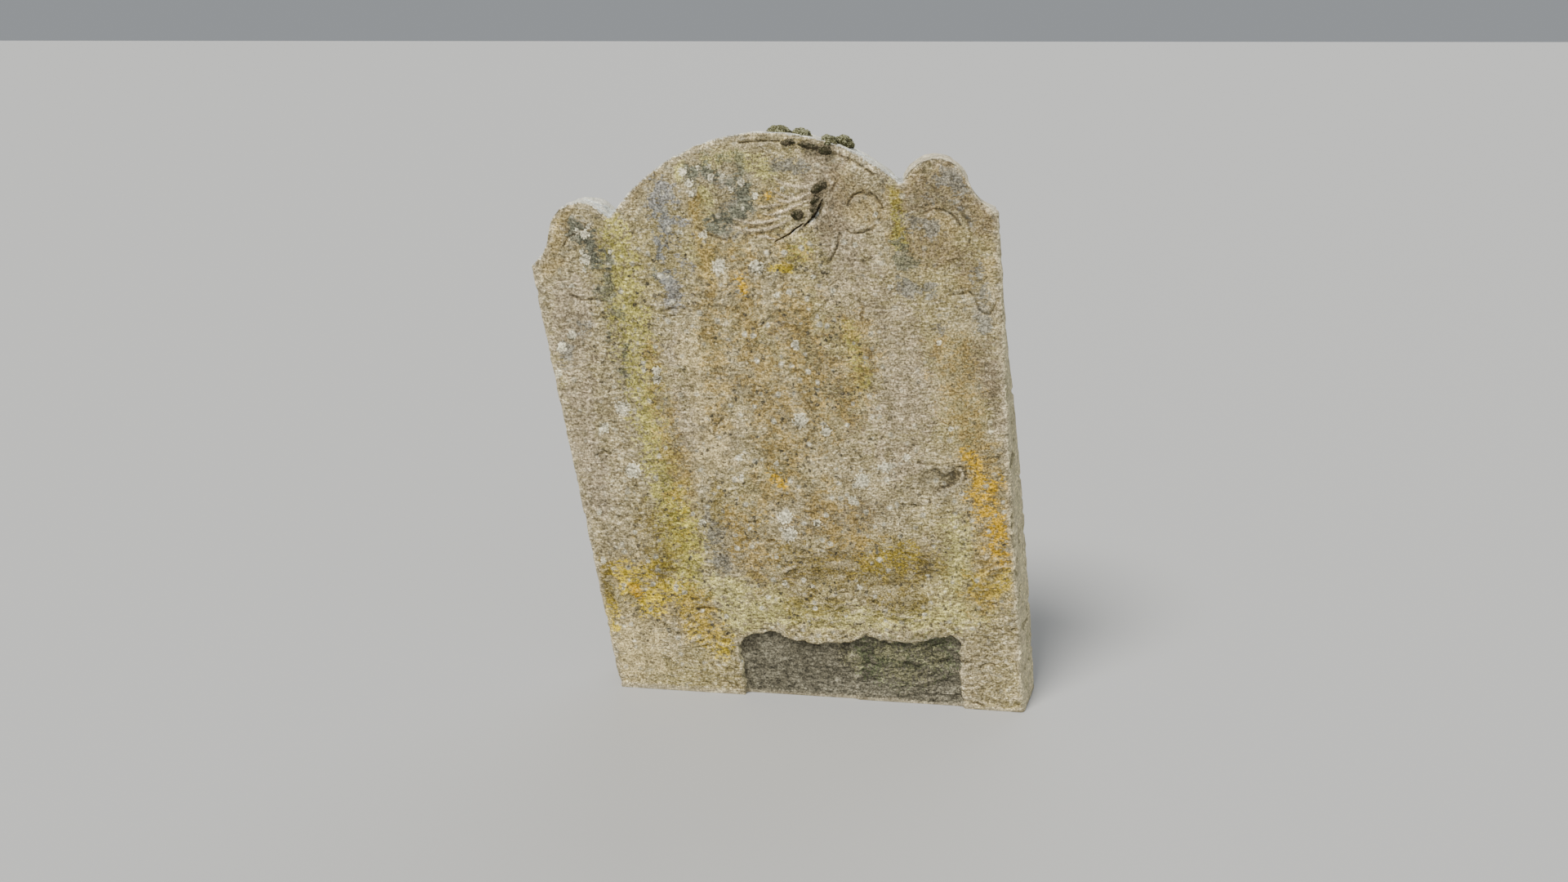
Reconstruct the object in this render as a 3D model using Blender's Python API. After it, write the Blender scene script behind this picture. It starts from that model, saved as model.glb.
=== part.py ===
# A leaning sandstone headstone: a round arched head between two round shoulders, with carved
# roundels, rosettes, a swag and worn rows of inscription, and moss cushions on its head.
# Metres, +Z up. Every piece is shaped in the stone's own upright frame: x across, z up its middle
# line, y into the stone from the front face. The frame leans, and the foot is cut level at z = 0.

import math
import random

import bmesh
import bpy
from mathutils import Matrix, Vector, noise

# The slab and its outline
WIDTH = 0.764
SHOULDER_HEIGHT = 0.866
HEAD_THICKNESS = 0.070
BASE_THICKNESS = 0.092
LEAN = math.radians(7.5)
ARCH_RADIUS = 0.310
ARCH_RISE = 0.167
LOBE_RADIUS = 0.054
LOBE_INSET = 0.0955
LOBE_RISE = 0.0405
COVE_RISE = 0.055
COVE_KNEE = 0.022
ARRIS = 0.005
BACK_ARRIS = 0.004

# Weathering of the slab
FACE_CELL = 0.085
FACE_WAVE = 0.003
BACK_WAVE = 0.009
WAVE_LENGTH = 0.34
SIDE_SWELL = 0.019
SWELL_TOP = 0.88
TOP_FALL = 0.007

# Carved lines: each has a width at the face and a depth
BORDER_INSET = 0.014
BORDER_WIDTH = 0.006
BORDER_DEPTH = 0.0030
ROUNDEL_DROP = 0.064
ROUNDEL_RADIUS = 0.048
ROUNDEL_INNER_RADIUS = 0.027
ROUNDEL_EYE_RADIUS = 0.009
ROUNDEL_EYE_SHIFT = 0.010
ROUNDEL_WIDTH = 0.010
ROUNDEL_DEPTH = 0.0040
ROSETTE_INSET = 0.1165
ROSETTE_DROP = 0.143
ROSETTE_RADIUS = 0.030
ROSETTE_INNER_RADIUS = 0.015
ROSETTE_WIDTH = 0.006
ROSETTE_DEPTH = 0.0030

# The swag hangs between two gathers
SWAG_CENTRE = 0.015
SWAG_SPAN = 0.204
SWAG_FOLDS = 8
SWAG_DROP = 0.085
SWAG_TOP_SAG = 0.010
SWAG_PITCH = 0.0117
SWAG_FULLNESS = 2.8
FOLD_GATHER_LEFT = 0.0070
FOLD_GATHER_RIGHT = 0.0038
FOLD_OPENNESS = 0.68
FOLD_DEPTH = 0.0035
TAIL_LENGTH = 0.110
TAIL_WIDTH = 0.024
TAIL_DROP = 0.012
TAIL_LINE_WIDTH = 0.005
TAIL_LINE_DEPTH = 0.0030
LEDGE_DROP = 0.217
LEDGE_LENGTH = 0.36
LEDGE_WIDTH = 0.006
LEDGE_DEPTH = 0.0020

# Worn inscription
ROW_COUNT = 6
ROW_TOP_DROP = 0.285
ROW_PITCH = 0.052
ROW_MARGIN = 0.112
STROKE_HEIGHT = 0.030
STROKE_WIDTH = 0.0045
STROKE_DEPTH = 0.0018
STROKE_PITCH = 0.024
WORD_STROKES = 5

# Breaks
CREVICE_WIDTH = 0.015
CREVICE_DEPTH = 0.014
SCAR_WIDTH = 0.004
SCAR_DEPTH = 0.004
HOLLOW_INSET = 0.133
HOLLOW_HEIGHT = 0.421
HOLLOW_DEPTH = 0.008
SPALL_DEPTH = 0.011
SPALL_STEP = 0.004
SOCKET_PLACE = 0.338
SOCKET_HEIGHT = 0.030
SOCKET_WIDTH = 0.014
SOCKET_DEPTH = 0.012

# Moss cushions, as widths along the row that they sit in
CROWN_MOSS_WIDTHS = (0.036, 0.030, 0.026, 0.032)
CROWN_MOSS_GAPS = (0.002, 0.014, 0.002)
CROWN_MOSS_SETBACKS = (0.004, 0.003, 0.002, 0.020)
CROWN_MOSS_START = 0.039
CROWN_MOSS_HEIGHT = 0.020
CROWN_MOSS_DEPTH = 0.030
BORDER_MOSS_WIDTHS = (0.022, 0.033, 0.020)
BORDER_MOSS_HEIGHTS = (0.012, 0.012, 0.019)
BORDER_MOSS_GAPS = (0.003, 0.002)
BORDER_MOSS_START = 0.059
BORDER_MOSS_DEPTH = 0.016
# Each sits above the split: across and up from the split's upper end, and turned to its run
CREVICE_MOSS_WIDTHS = (0.026, 0.014, 0.012, 0.019)
CREVICE_MOSS_HEIGHTS = (0.015, 0.011, 0.010, 0.015)
CREVICE_MOSS_SPOTS = ((-0.009, 0.016), (-0.017, -0.003), (-0.022, -0.017), (-0.047, -0.022))
CREVICE_MOSS_TURNS = (math.radians(-30.0), math.radians(-25.0), 0.0, 0.0)
CREVICE_MOSS_DEPTH = 0.015
CLEARANCE = 0.0003

SANDSTONE_COLOUR = (0.36, 0.30, 0.19, 1.0)
MOSS_COLOUR = (0.095, 0.095, 0.045, 1.0)

PROUD = 0.010
HALF_WIDTH = WIDTH / 2
CROWN_HEIGHT = SHOULDER_HEIGHT + ARCH_RISE
ARCH_CENTRE = Vector((0.0, CROWN_HEIGHT - ARCH_RADIUS))
LOBE_CENTRE = Vector((HALF_WIDTH - LOBE_INSET, SHOULDER_HEIGHT + LOBE_RISE))
FOOT_HEIGHT = -HALF_WIDTH * math.tan(LEAN) - 0.05


def clamp(value, low, high):
    return max(low, min(high, value))


def ramp(value, start, end):
    share = clamp((value - start) / (end - start), 0.0, 1.0)
    return share * share * (3.0 - 2.0 * share)


def on_circle(centre, radius, angle):
    return centre + radius * Vector((math.cos(angle), math.sin(angle)))


def circle_meeting(first, first_radius, second, second_radius):
    # The upper crossing of two circles, or the point between them where they stay apart
    gap = second - first
    length = gap.length
    along = (length * length + first_radius ** 2 - second_radius ** 2) / (2.0 * length)
    rise = math.sqrt(max(0.0, first_radius ** 2 - along ** 2))
    direction = gap / length
    return first + direction * along + Vector((-direction.y, direction.x)) * rise


def arc(centre, radius, start, end, spacing=0.015):
    count = max(4, round(abs(end - start) * radius / spacing))
    return [on_circle(centre, radius, start + (end - start) * i / count) for i in range(count + 1)]


def angle_about(centre, point):
    return math.atan2(point.y - centre.y, point.x - centre.x)


NOTCH = circle_meeting(ARCH_CENTRE, ARCH_RADIUS, LOBE_CENTRE, LOBE_RADIUS)
NOTCH_ARCH_ANGLE = angle_about(ARCH_CENTRE, NOTCH)
NOTCH_LOBE_ANGLE = angle_about(LOBE_CENTRE, NOTCH)
COVE_ANGLE = math.asin(clamp((COVE_RISE - LOBE_RISE) / LOBE_RADIUS, -0.9, 0.9))


def cove_points(steps=6):
    start = on_circle(LOBE_CENTRE, LOBE_RADIUS, COVE_ANGLE)
    knee = Vector((LOBE_CENTRE.x + LOBE_RADIUS, SHOULDER_HEIGHT + COVE_KNEE))
    end = Vector((HALF_WIDTH, SHOULDER_HEIGHT))
    points = []
    for i in range(1, steps + 1):
        t = i / steps
        points.append(start * (1 - t) ** 2 + knee * 2 * t * (1 - t) + end * t * t)
    return points


def half_outline():
    # From just right of the crown down to the foot
    arch = arc(ARCH_CENTRE, ARCH_RADIUS, math.pi / 2, NOTCH_ARCH_ANGLE, 0.022)
    lobe = arc(LOBE_CENTRE, LOBE_RADIUS, NOTCH_LOBE_ANGLE, COVE_ANGLE, 0.014)
    foot = Vector((HALF_WIDTH, FOOT_HEIGHT))
    return arch[1:] + lobe[1:] + cove_points() + [foot]


def outline():
    right = half_outline()
    left = [Vector((-point.x, point.y)) for point in reversed(right)]
    return left + [Vector((0.0, CROWN_HEIGHT))] + right


def face_relief(x, z):
    place = Vector((x / WAVE_LENGTH, 3.7, z / WAVE_LENGTH))
    return FACE_WAVE * noise.noise(place)


def back_relief(x, z):
    place = Vector((2.0 * x / WAVE_LENGTH, 11.3, 2.0 * z / WAVE_LENGTH))
    return BACK_WAVE * noise.noise(place)


def thickness(z):
    share = clamp(z / CROWN_HEIGHT, -0.1, 1.0)
    return BASE_THICKNESS + (HEAD_THICKNESS - BASE_THICKNESS) * share


def weather(point):
    # Takes a point of the square slab to its place on the worn one
    x, y, z = point
    share = y / HEAD_THICKNESS
    front = face_relief(x, z)
    back = thickness(z) + back_relief(x, z)
    low = 1.0 - ramp(z, 0.3 * SWELL_TOP, SWELL_TOP)
    swell = SIDE_SWELL * low * ramp(x, 0.8 * HALF_WIDTH, HALF_WIDTH)
    fall = TOP_FALL * share * ramp(z, NOTCH.y, CROWN_HEIGHT) * ramp(-x, -0.4 * HALF_WIDTH, 0.0)
    return Vector((x + swell * (1.5 * share - 0.5), front + share * (back - front), z - fall))


def prism(bm, loop, near, far):
    # A closed prism on a loop of (x, z) points, from y = near to y = far
    front = [bm.verts.new((p.x, near, p.y)) for p in loop]
    rear = [bm.verts.new((p.x, far, p.y)) for p in loop]
    bm.faces.new(front)
    bm.faces.new(list(reversed(rear)))
    for i in range(len(loop)):
        j = (i + 1) % len(loop)
        bm.faces.new((front[i], rear[i], rear[j], front[j]))


def finish_mesh(bm, name):
    bmesh.ops.recalc_face_normals(bm, faces=bm.faces)
    mesh = bpy.data.meshes.new(name)
    bm.to_mesh(mesh)
    bm.free()
    return mesh


def bevel_edges(bm, depth, offset, segments):
    edges = [e for e in bm.edges if all(abs(v.co.y - depth) < 1e-6 for v in e.verts)]
    bmesh.ops.bevel(bm, geom=edges, offset=offset, segments=segments, profile=0.5,
                    affect='EDGES', clamp_overlap=True)


def lattice(low, high, cell):
    count = max(1, round((high - low) / cell))
    return [low + (high - low) * i / count for i in range(1, count)]


def slab_mesh(name):
    bm = bmesh.new()
    prism(bm, outline(), 0.0, HEAD_THICKNESS)
    bevel_edges(bm, 0.0, ARRIS, 2)
    bevel_edges(bm, HEAD_THICKNESS, BACK_ARRIS, 1)
    cuts = [((x, 0, 0), (1, 0, 0)) for x in lattice(-HALF_WIDTH, HALF_WIDTH, FACE_CELL)]
    cuts += [((0, 0, z), (0, 0, 1)) for z in lattice(FOOT_HEIGHT, CROWN_HEIGHT, FACE_CELL)]
    for place, normal in cuts:
        geometry = bm.verts[:] + bm.edges[:] + bm.faces[:]
        bmesh.ops.bisect_plane(bm, geom=geometry, dist=1e-4, plane_co=place, plane_no=normal)
    bmesh.ops.triangulate(bm, faces=bm.faces)
    for vert in bm.verts:
        vert.co = weather(vert.co)
    level = (math.sin(LEAN), 0.0, math.cos(LEAN))
    geometry = bm.verts[:] + bm.edges[:] + bm.faces[:]
    cut = bmesh.ops.bisect_plane(bm, geom=geometry, dist=1e-6, plane_co=(0, 0, 0), plane_no=level,
                                 clear_inner=True)
    rim = [part for part in cut['geom_cut'] if isinstance(part, bmesh.types.BMEdge)]
    bmesh.ops.edgeloop_fill(bm, edges=rim)
    return finish_mesh(bm, name)


def sweep(bm, sections, closed):
    # Joins a row of equal sections into one closed body
    rows = [[bm.verts.new(point) for point in section] for section in sections]
    size = len(rows[0])
    count = len(rows)
    for i in range(count if closed else count - 1):
        near, far = rows[i], rows[(i + 1) % count]
        for k in range(size):
            n = (k + 1) % size
            bm.faces.new((near[k], near[n], far[n], far[k]))
    if not closed:
        bm.faces.new(list(reversed(rows[0])))
        bm.faces.new(rows[-1])


def groove(bm, path, width, depth, closed=False, taper=None):
    # A V groove along (x, z) points that follows the worn face; taper gives its share along the path
    sections = []
    count = len(path)
    for i, point in enumerate(path):
        before = path[i - 1] if closed or i else path[i]
        after = path[(i + 1) % count] if closed or i < count - 1 else path[i]
        along = (after - before).normalized()
        across = Vector((-along.y, along.x))
        share = taper(i / (count - 1)) if taper else 1.0
        face = face_relief(point.x, point.y)
        left = point + across * 0.5 * width * share
        right = point - across * 0.5 * width * share
        sections.append((
            (left.x, face - PROUD, left.y),
            (right.x, face - PROUD, right.y),
            (right.x, face, right.y),
            (point.x, face + depth * share, point.y),
            (left.x, face, left.y)))
    sweep(bm, sections, closed)


def ring(bm, centre, radius, width, depth, count=20):
    path = [on_circle(centre, radius, math.tau * i / count) for i in range(count)]
    groove(bm, path, width, depth, closed=True)


def border_mesh():
    bm = bmesh.new()
    spare = 2.5 * BORDER_WIDTH / ARCH_RADIUS
    inner = ARCH_RADIUS - BORDER_INSET
    arch_end = NOTCH_ARCH_ANGLE + spare
    groove(bm, arc(ARCH_CENTRE, inner, math.pi - arch_end, arch_end, 0.024), BORDER_WIDTH, BORDER_DEPTH)
    for side in (-1, 1):
        path = arc(LOBE_CENTRE, LOBE_RADIUS - BORDER_INSET, NOTCH_LOBE_ANGLE - 0.1, COVE_ANGLE, 0.014)
        path = [Vector((side * p.x, p.y)) for p in path]
        groove(bm, path, BORDER_WIDTH, BORDER_DEPTH)
    return finish_mesh(bm, "border_cut")


def roundel_mesh():
    bm = bmesh.new()
    for side in (-1, 1):
        centre = Vector((side * LOBE_CENTRE.x, LOBE_CENTRE.y - ROUNDEL_DROP))
        eye = centre + Vector((-side * 0.5 * ROUNDEL_EYE_SHIFT, ROUNDEL_EYE_SHIFT))
        ring(bm, centre, ROUNDEL_RADIUS, ROUNDEL_WIDTH, ROUNDEL_DEPTH, 28)
        ring(bm, centre, ROUNDEL_INNER_RADIUS, 0.6 * ROUNDEL_WIDTH, 0.6 * ROUNDEL_DEPTH, 20)
        ring(bm, eye, ROUNDEL_EYE_RADIUS, 0.4 * ROUNDEL_WIDTH, 0.5 * ROUNDEL_DEPTH, 10)
    return finish_mesh(bm, "roundel_cut")


def rosette_mesh():
    bm = bmesh.new()
    for side in (-1, 1):
        centre = Vector((side * (LOBE_CENTRE.x - ROSETTE_INSET), CROWN_HEIGHT - ROSETTE_DROP))
        ring(bm, centre, ROSETTE_RADIUS, ROSETTE_WIDTH, ROSETTE_DEPTH, 20)
        ring(bm, centre, ROSETTE_INNER_RADIUS, 0.8 * ROSETTE_WIDTH, 0.7 * ROSETTE_DEPTH, 12)
    return finish_mesh(bm, "rosette_cut")


def swag_point(fold, t):
    # t runs from the left gather to the right one
    left = SWAG_CENTRE - SWAG_SPAN / 2
    top = CROWN_HEIGHT - SWAG_DROP
    hang_left = top - fold * FOLD_GATHER_LEFT
    hang_right = top - fold * FOLD_GATHER_RIGHT
    sag = SWAG_TOP_SAG + fold * (SWAG_PITCH - 0.5 * (FOLD_GATHER_LEFT + FOLD_GATHER_RIGHT))
    z = hang_left + (hang_right - hang_left) * t - sag * (1.0 - abs(2.0 * t - 1.0) ** SWAG_FULLNESS)
    return Vector((left + SWAG_SPAN * t, z))


def fold_taper(share):
    return 0.3 + 0.7 * math.sin(math.pi * share)


def swag_mesh():
    bm = bmesh.new()
    for fold in range(SWAG_FOLDS):
        steps = 11
        path = [swag_point(fold, 0.03 + 0.94 * i / steps) for i in range(steps + 1)]
        groove(bm, path, FOLD_OPENNESS * SWAG_PITCH, FOLD_DEPTH, taper=fold_taper)
    return finish_mesh(bm, "swag_cut")


def tail_mesh():
    # A drapery tail hangs from each gather, drawn by one line down, round its end and up
    bm = bmesh.new()
    half = TAIL_WIDTH / 2
    top = CROWN_HEIGHT - SWAG_DROP - TAIL_DROP
    for side in (-1, 1):
        x = SWAG_CENTRE + side * (SWAG_SPAN / 2 + 0.2 * half)
        low = Vector((x, top - TAIL_LENGTH + half))
        path = [Vector((x - side * 0.4 * half, top - 0.5 * TAIL_LENGTH)), Vector((x - side * half, low.y))]
        path += [low + Vector((-side * half * math.cos(a), -half * math.sin(a)))
                 for a in (math.pi * i / 6 for i in range(1, 6))]
        path += [Vector((x + side * half, low.y)), Vector((x + side * half, top - 0.45 * TAIL_LENGTH)),
                 Vector((x + side * 0.3 * half, top))]
        groove(bm, path, TAIL_LINE_WIDTH, TAIL_LINE_DEPTH)
    return finish_mesh(bm, "tail_cut")


def ledge_mesh():
    bm = bmesh.new()
    z = CROWN_HEIGHT - LEDGE_DROP
    left = SWAG_CENTRE - LEDGE_LENGTH / 2
    path = [Vector((left + LEDGE_LENGTH * i / 6, z + 0.002 * math.sin(2.1 * i))) for i in range(7)]
    groove(bm, path, LEDGE_WIDTH, LEDGE_DEPTH, taper=fold_taper)
    return finish_mesh(bm, "ledge_cut")


def inscription_mesh():
    # Rows of shallow worn strokes: plain marks of uneven height and slant, in groups like words
    bm = bmesh.new()
    chance = random.Random(11)
    reach = HALF_WIDTH - ROW_MARGIN
    for row in range(ROW_COUNT):
        z = CROWN_HEIGHT - ROW_TOP_DROP - row * ROW_PITCH
        count = int(2 * reach / STROKE_PITCH)
        for i in range(count):
            height = STROKE_HEIGHT * chance.uniform(0.45, 1.0)
            slant = chance.uniform(-0.12, 0.12) * STROKE_PITCH
            shift = chance.uniform(-0.5, 0.5) * (STROKE_HEIGHT - height)
            worn = chance.random() < 0.15
            if worn or (i + row) % (WORD_STROKES + row % 2) == 0:
                continue
            x = -reach + (i + 0.5) * STROKE_PITCH
            path = [Vector((x - slant, z + shift - height / 2)), Vector((x + slant, z + shift + height / 2))]
            groove(bm, path, STROKE_WIDTH, STROKE_DEPTH)
    return finish_mesh(bm, "inscription_cut")


def crevice_mesh():
    # The stone has split along the lowest fold, open at the gather and closing to a hair
    bm = bmesh.new()
    steps = 9
    path = [swag_point(SWAG_FOLDS - 1, 0.52 + 0.46 * i / steps) for i in range(steps + 1)]
    openness = (0.10, 0.22, 0.40, 0.45, 0.36, 0.48, 0.60, 0.50, 1.00, 0.55)
    groove(bm, path, CREVICE_WIDTH, CREVICE_DEPTH,
           taper=lambda share: openness[round(share * steps)])
    return finish_mesh(bm, "crevice_cut")


def scar_mesh():
    # The lower lip of a flaked layer, from inside the right roundel to the right side
    bm = bmesh.new()
    drops = (0.095, 0.103, 0.110, 0.113, 0.119, 0.118, 0.125, 0.155, 0.158, 0.138)
    start = 0.63 * HALF_WIDTH
    stretch = HALF_WIDTH - 0.008 - start
    path = [Vector((start + stretch * i / (len(drops) - 1), SHOULDER_HEIGHT - drop))
            for i, drop in enumerate(drops)]
    groove(bm, path, SCAR_WIDTH, SCAR_DEPTH)
    return finish_mesh(bm, "scar_cut")


def hollow_mesh():
    # A shell-shaped flake scar: crisp and deep at its right end, running out to nothing on the left
    bm = bmesh.new()
    centre = Vector((HALF_WIDTH - HOLLOW_INSET, HOLLOW_HEIGHT))
    rim = ((-0.046, -0.037), (-0.014, -0.040), (-0.009, -0.028), (0.008, -0.017), (0.030, -0.012),
           (0.046, -0.001), (0.052, 0.014), (0.049, 0.024), (0.041, 0.026), (0.030, 0.022),
           (0.019, 0.021), (0.010, 0.031), (0.002, 0.036), (-0.021, 0.036), (-0.040, 0.010))
    left, right = rim[0][0], rim[6][0]
    front, rear = [], []
    for dx, dz in rim:
        x, z = centre.x + dx, centre.y + dz
        face = face_relief(x, z)
        deep = HOLLOW_DEPTH * (0.08 + 0.92 * (dx - left) / (right - left))
        inward = 0.75
        front.append(bm.verts.new((x, face - PROUD, z)))
        rear.append(bm.verts.new((centre.x + dx * inward, face + deep, centre.y + dz * inward)))
    bm.faces.new(front)
    bm.faces.new(list(reversed(rear)))
    for i in range(len(rim)):
        j = (i + 1) % len(rim)
        bm.faces.new((front[i], rear[i], rear[j], front[j]))
    return finish_mesh(bm, "hollow_cut")


def foot_cut_mesh(name, edge, depth):
    # Takes the skin off below a ragged edge, down to the foot: shares of the half width, heights
    bm = bmesh.new()
    loop = [Vector((share * HALF_WIDTH, height)) for share, height in edge]
    loop += [Vector((loop[-1].x, FOOT_HEIGHT - PROUD)), Vector((loop[0].x, FOOT_HEIGHT - PROUD))]
    middle = loop[len(edge) // 2]
    prism(bm, loop, -PROUD, face_relief(middle.x, middle.y) + depth)
    return finish_mesh(bm, name)


def spall_mesh():
    # The lost skin at the foot, with a square left end
    edge = ((-0.37, 0.010), (-0.36, 0.126), (-0.32, 0.146), (-0.19, 0.149), (-0.08, 0.129),
            (0.02, 0.115), (0.18, 0.118))
    return foot_cut_mesh("spall_cut", edge, SPALL_DEPTH)


def spall_rest_mesh():
    # Its shallower right part
    edge = ((0.15, 0.108), (0.20, 0.121), (0.26, 0.133), (0.37, 0.110), (0.52, 0.114),
            (0.66, 0.123), (0.70, 0.100), (0.69, 0.030))
    return foot_cut_mesh("spall_rest_cut", edge, SPALL_DEPTH - SPALL_STEP)


def socket_mesh():
    # A small square-edged hole broken into the right-hand arris
    bm = bmesh.new()
    low = SOCKET_PLACE - SOCKET_HEIGHT / 2
    high = SOCKET_PLACE + SOCKET_HEIGHT / 2
    outside = HALF_WIDTH + PROUD + SIDE_SWELL
    loop = [Vector((HALF_WIDTH - SOCKET_WIDTH, low)), Vector((outside, low)), Vector((outside, high)),
            Vector((HALF_WIDTH - 0.7 * SOCKET_WIDTH, high))]
    prism(bm, loop, -PROUD, SOCKET_DEPTH)
    return finish_mesh(bm, "socket_cut")


def cushion_mesh(name, place, size, seed):
    # A lumpy moss cushion about its place
    bm = bmesh.new()
    bmesh.ops.create_icosphere(bm, subdivisions=2, radius=0.5)
    for vert in bm.verts:
        lump = 1.0 + 0.22 * noise.noise(vert.co * 4.0 + Vector((seed, 0.0, 0.0)))
        vert.co = Vector((vert.co.x * size.x, vert.co.y * size.y, vert.co.z * size.z)) * lump + place
    return finish_mesh(bm, name)


def material(name, colour, roughness):
    made = bpy.data.materials.new(name)
    made.use_nodes = True
    shader = made.node_tree.nodes["Principled BSDF"]
    shader.inputs["Base Color"].default_value = colour
    shader.inputs["Roughness"].default_value = roughness
    shader.inputs["Metallic"].default_value = 0.0
    return made


def place_object(name, mesh, parent, finish=None):
    made = bpy.data.objects.new(name, mesh)
    bpy.context.scene.collection.objects.link(made)
    made.parent = parent
    if finish:
        mesh.materials.append(finish)
    return made


def cutter(mesh, parent, move=(0.0, 0.0, 0.0)):
    made = place_object(mesh.name, mesh, parent)
    made.location = move
    made.hide_render = True
    made.display_type = 'WIRE'
    return made


def cut(target, tool):
    step = target.modifiers.new(tool.name, 'BOOLEAN')
    step.operation = 'DIFFERENCE'
    step.solver = 'EXACT'
    step.object = tool


def row_places(start, widths, gaps, radius):
    # The middle angle of each cushion in a row round the arch, measured clockwise from the crown
    angles = []
    edge = start
    for i, width in enumerate(widths):
        angles.append((edge + width / 2) / radius)
        edge += width + (gaps[i] if i < len(gaps) else 0.0)
    return angles


def add_moss(frame, seats, finish):
    front_seat, crown_seat = seats
    crown_radius = ARCH_RADIUS + 0.15 * CROWN_MOSS_HEIGHT
    angles = row_places(CROWN_MOSS_START, CROWN_MOSS_WIDTHS, CROWN_MOSS_GAPS, crown_radius)
    for i, angle in enumerate(angles):
        spot = on_circle(ARCH_CENTRE, crown_radius, math.pi / 2 - angle)
        place = Vector((spot.x, CROWN_MOSS_SETBACKS[i] + CROWN_MOSS_DEPTH / 2, spot.y))
        size = Vector((CROWN_MOSS_WIDTHS[i], CROWN_MOSS_DEPTH, CROWN_MOSS_HEIGHT))
        add_cushion(frame, f"crown_moss_{i + 1}", place, size, angle, crown_seat, finish)
    border_radius = ARCH_RADIUS - BORDER_INSET
    angles = row_places(BORDER_MOSS_START, BORDER_MOSS_WIDTHS, BORDER_MOSS_GAPS, border_radius)
    for i, angle in enumerate(angles):
        spot = on_circle(ARCH_CENTRE, border_radius, math.pi / 2 - angle)
        place = Vector((spot.x, face_relief(spot.x, spot.y), spot.y))
        size = Vector((BORDER_MOSS_WIDTHS[i], BORDER_MOSS_DEPTH, BORDER_MOSS_HEIGHTS[i]))
        add_cushion(frame, f"border_moss_{i + 1}", place, size, angle, front_seat, finish)
    add_crevice_moss(frame, front_seat, finish)


def add_crevice_moss(frame, seat, finish):
    # The cushions sit on the lip above the split, from the gather down
    end = swag_point(SWAG_FOLDS - 1, 1.0)
    for i, (across, up) in enumerate(CREVICE_MOSS_SPOTS):
        spot = end + Vector((across, up))
        place = Vector((spot.x, face_relief(spot.x, spot.y), spot.y))
        size = Vector((CREVICE_MOSS_WIDTHS[i], CREVICE_MOSS_DEPTH, CREVICE_MOSS_HEIGHTS[i]))
        add_cushion(frame, f"crevice_moss_{i + 1}", place, size, CREVICE_MOSS_TURNS[i], seat, finish)


def add_cushion(frame, name, place, size, angle, seat, finish):
    mesh = cushion_mesh(name, Vector(), size, len(bpy.data.meshes) * 1.7)
    turn = Matrix.Translation(place) @ Matrix.Rotation(angle, 4, 'Y')
    mesh.transform(turn)
    made = place_object(name, mesh, frame, finish)
    cut(made, seat)


def build():
    for old in list(bpy.data.objects):
        bpy.data.objects.remove(old, do_unlink=True)
    sandstone = material("sandstone", SANDSTONE_COLOUR, 0.95)
    moss = material("moss", MOSS_COLOUR, 1.0)
    frame = bpy.data.objects.new("stone_frame", None)
    bpy.context.scene.collection.objects.link(frame)
    frame.location = (0.0, -BASE_THICKNESS / 2, 0.0)
    frame.rotation_euler = (0.0, -LEAN, 0.0)

    headstone = place_object("headstone", slab_mesh("headstone"), frame, sandstone)
    carving = (border_mesh, roundel_mesh, rosette_mesh, swag_mesh, tail_mesh, ledge_mesh,
               inscription_mesh, crevice_mesh, scar_mesh, hollow_mesh, spall_mesh, spall_rest_mesh,
               socket_mesh)
    for make in carving:
        cut(headstone, cutter(make(), frame))

    front_seat = cutter(slab_mesh("front_seat"), frame, (0.0, -CLEARANCE, 0.0))
    crown_seat = cutter(slab_mesh("crown_seat"), frame, (0.0, 0.0, 1.3 * CLEARANCE))
    add_moss(frame, (front_seat, crown_seat), moss)


build()
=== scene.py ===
import math

import bmesh
import bpy
import numpy as np
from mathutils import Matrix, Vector


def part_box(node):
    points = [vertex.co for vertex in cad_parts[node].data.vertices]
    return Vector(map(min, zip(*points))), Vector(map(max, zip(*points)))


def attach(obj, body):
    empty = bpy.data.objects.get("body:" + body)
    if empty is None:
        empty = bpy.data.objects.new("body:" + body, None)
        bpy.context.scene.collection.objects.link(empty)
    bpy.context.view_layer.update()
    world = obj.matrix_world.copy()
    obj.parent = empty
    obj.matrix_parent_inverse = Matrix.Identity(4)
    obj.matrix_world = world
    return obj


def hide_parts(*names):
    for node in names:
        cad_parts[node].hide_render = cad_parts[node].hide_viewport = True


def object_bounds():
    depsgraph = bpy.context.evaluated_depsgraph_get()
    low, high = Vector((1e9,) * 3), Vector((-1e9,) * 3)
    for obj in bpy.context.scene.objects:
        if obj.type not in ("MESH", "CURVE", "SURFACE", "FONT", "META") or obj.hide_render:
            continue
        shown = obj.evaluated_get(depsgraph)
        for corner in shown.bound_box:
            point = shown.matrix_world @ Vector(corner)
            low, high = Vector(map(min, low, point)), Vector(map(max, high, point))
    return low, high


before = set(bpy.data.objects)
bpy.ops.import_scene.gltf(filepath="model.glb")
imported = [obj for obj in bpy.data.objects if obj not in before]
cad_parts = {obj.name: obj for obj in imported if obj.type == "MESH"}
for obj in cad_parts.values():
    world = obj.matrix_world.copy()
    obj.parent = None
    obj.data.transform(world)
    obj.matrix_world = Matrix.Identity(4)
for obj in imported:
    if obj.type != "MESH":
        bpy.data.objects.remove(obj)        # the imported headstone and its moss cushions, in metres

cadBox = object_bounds()
print("frame loaded:", len(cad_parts), "nodes")

# The camera stands where the photograph was taken from
photoView = {
    "target": (-0.0695, -0.046, 0.517),
    "distance": 1.820,
    "swing": 6.30,       # degrees to the right of straight on
    "height": 21.01,     # degrees above the level
    "lens": 24.444,
    "sensor": 36.0,
    "frameSize": (1920, 1080),
}


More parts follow.
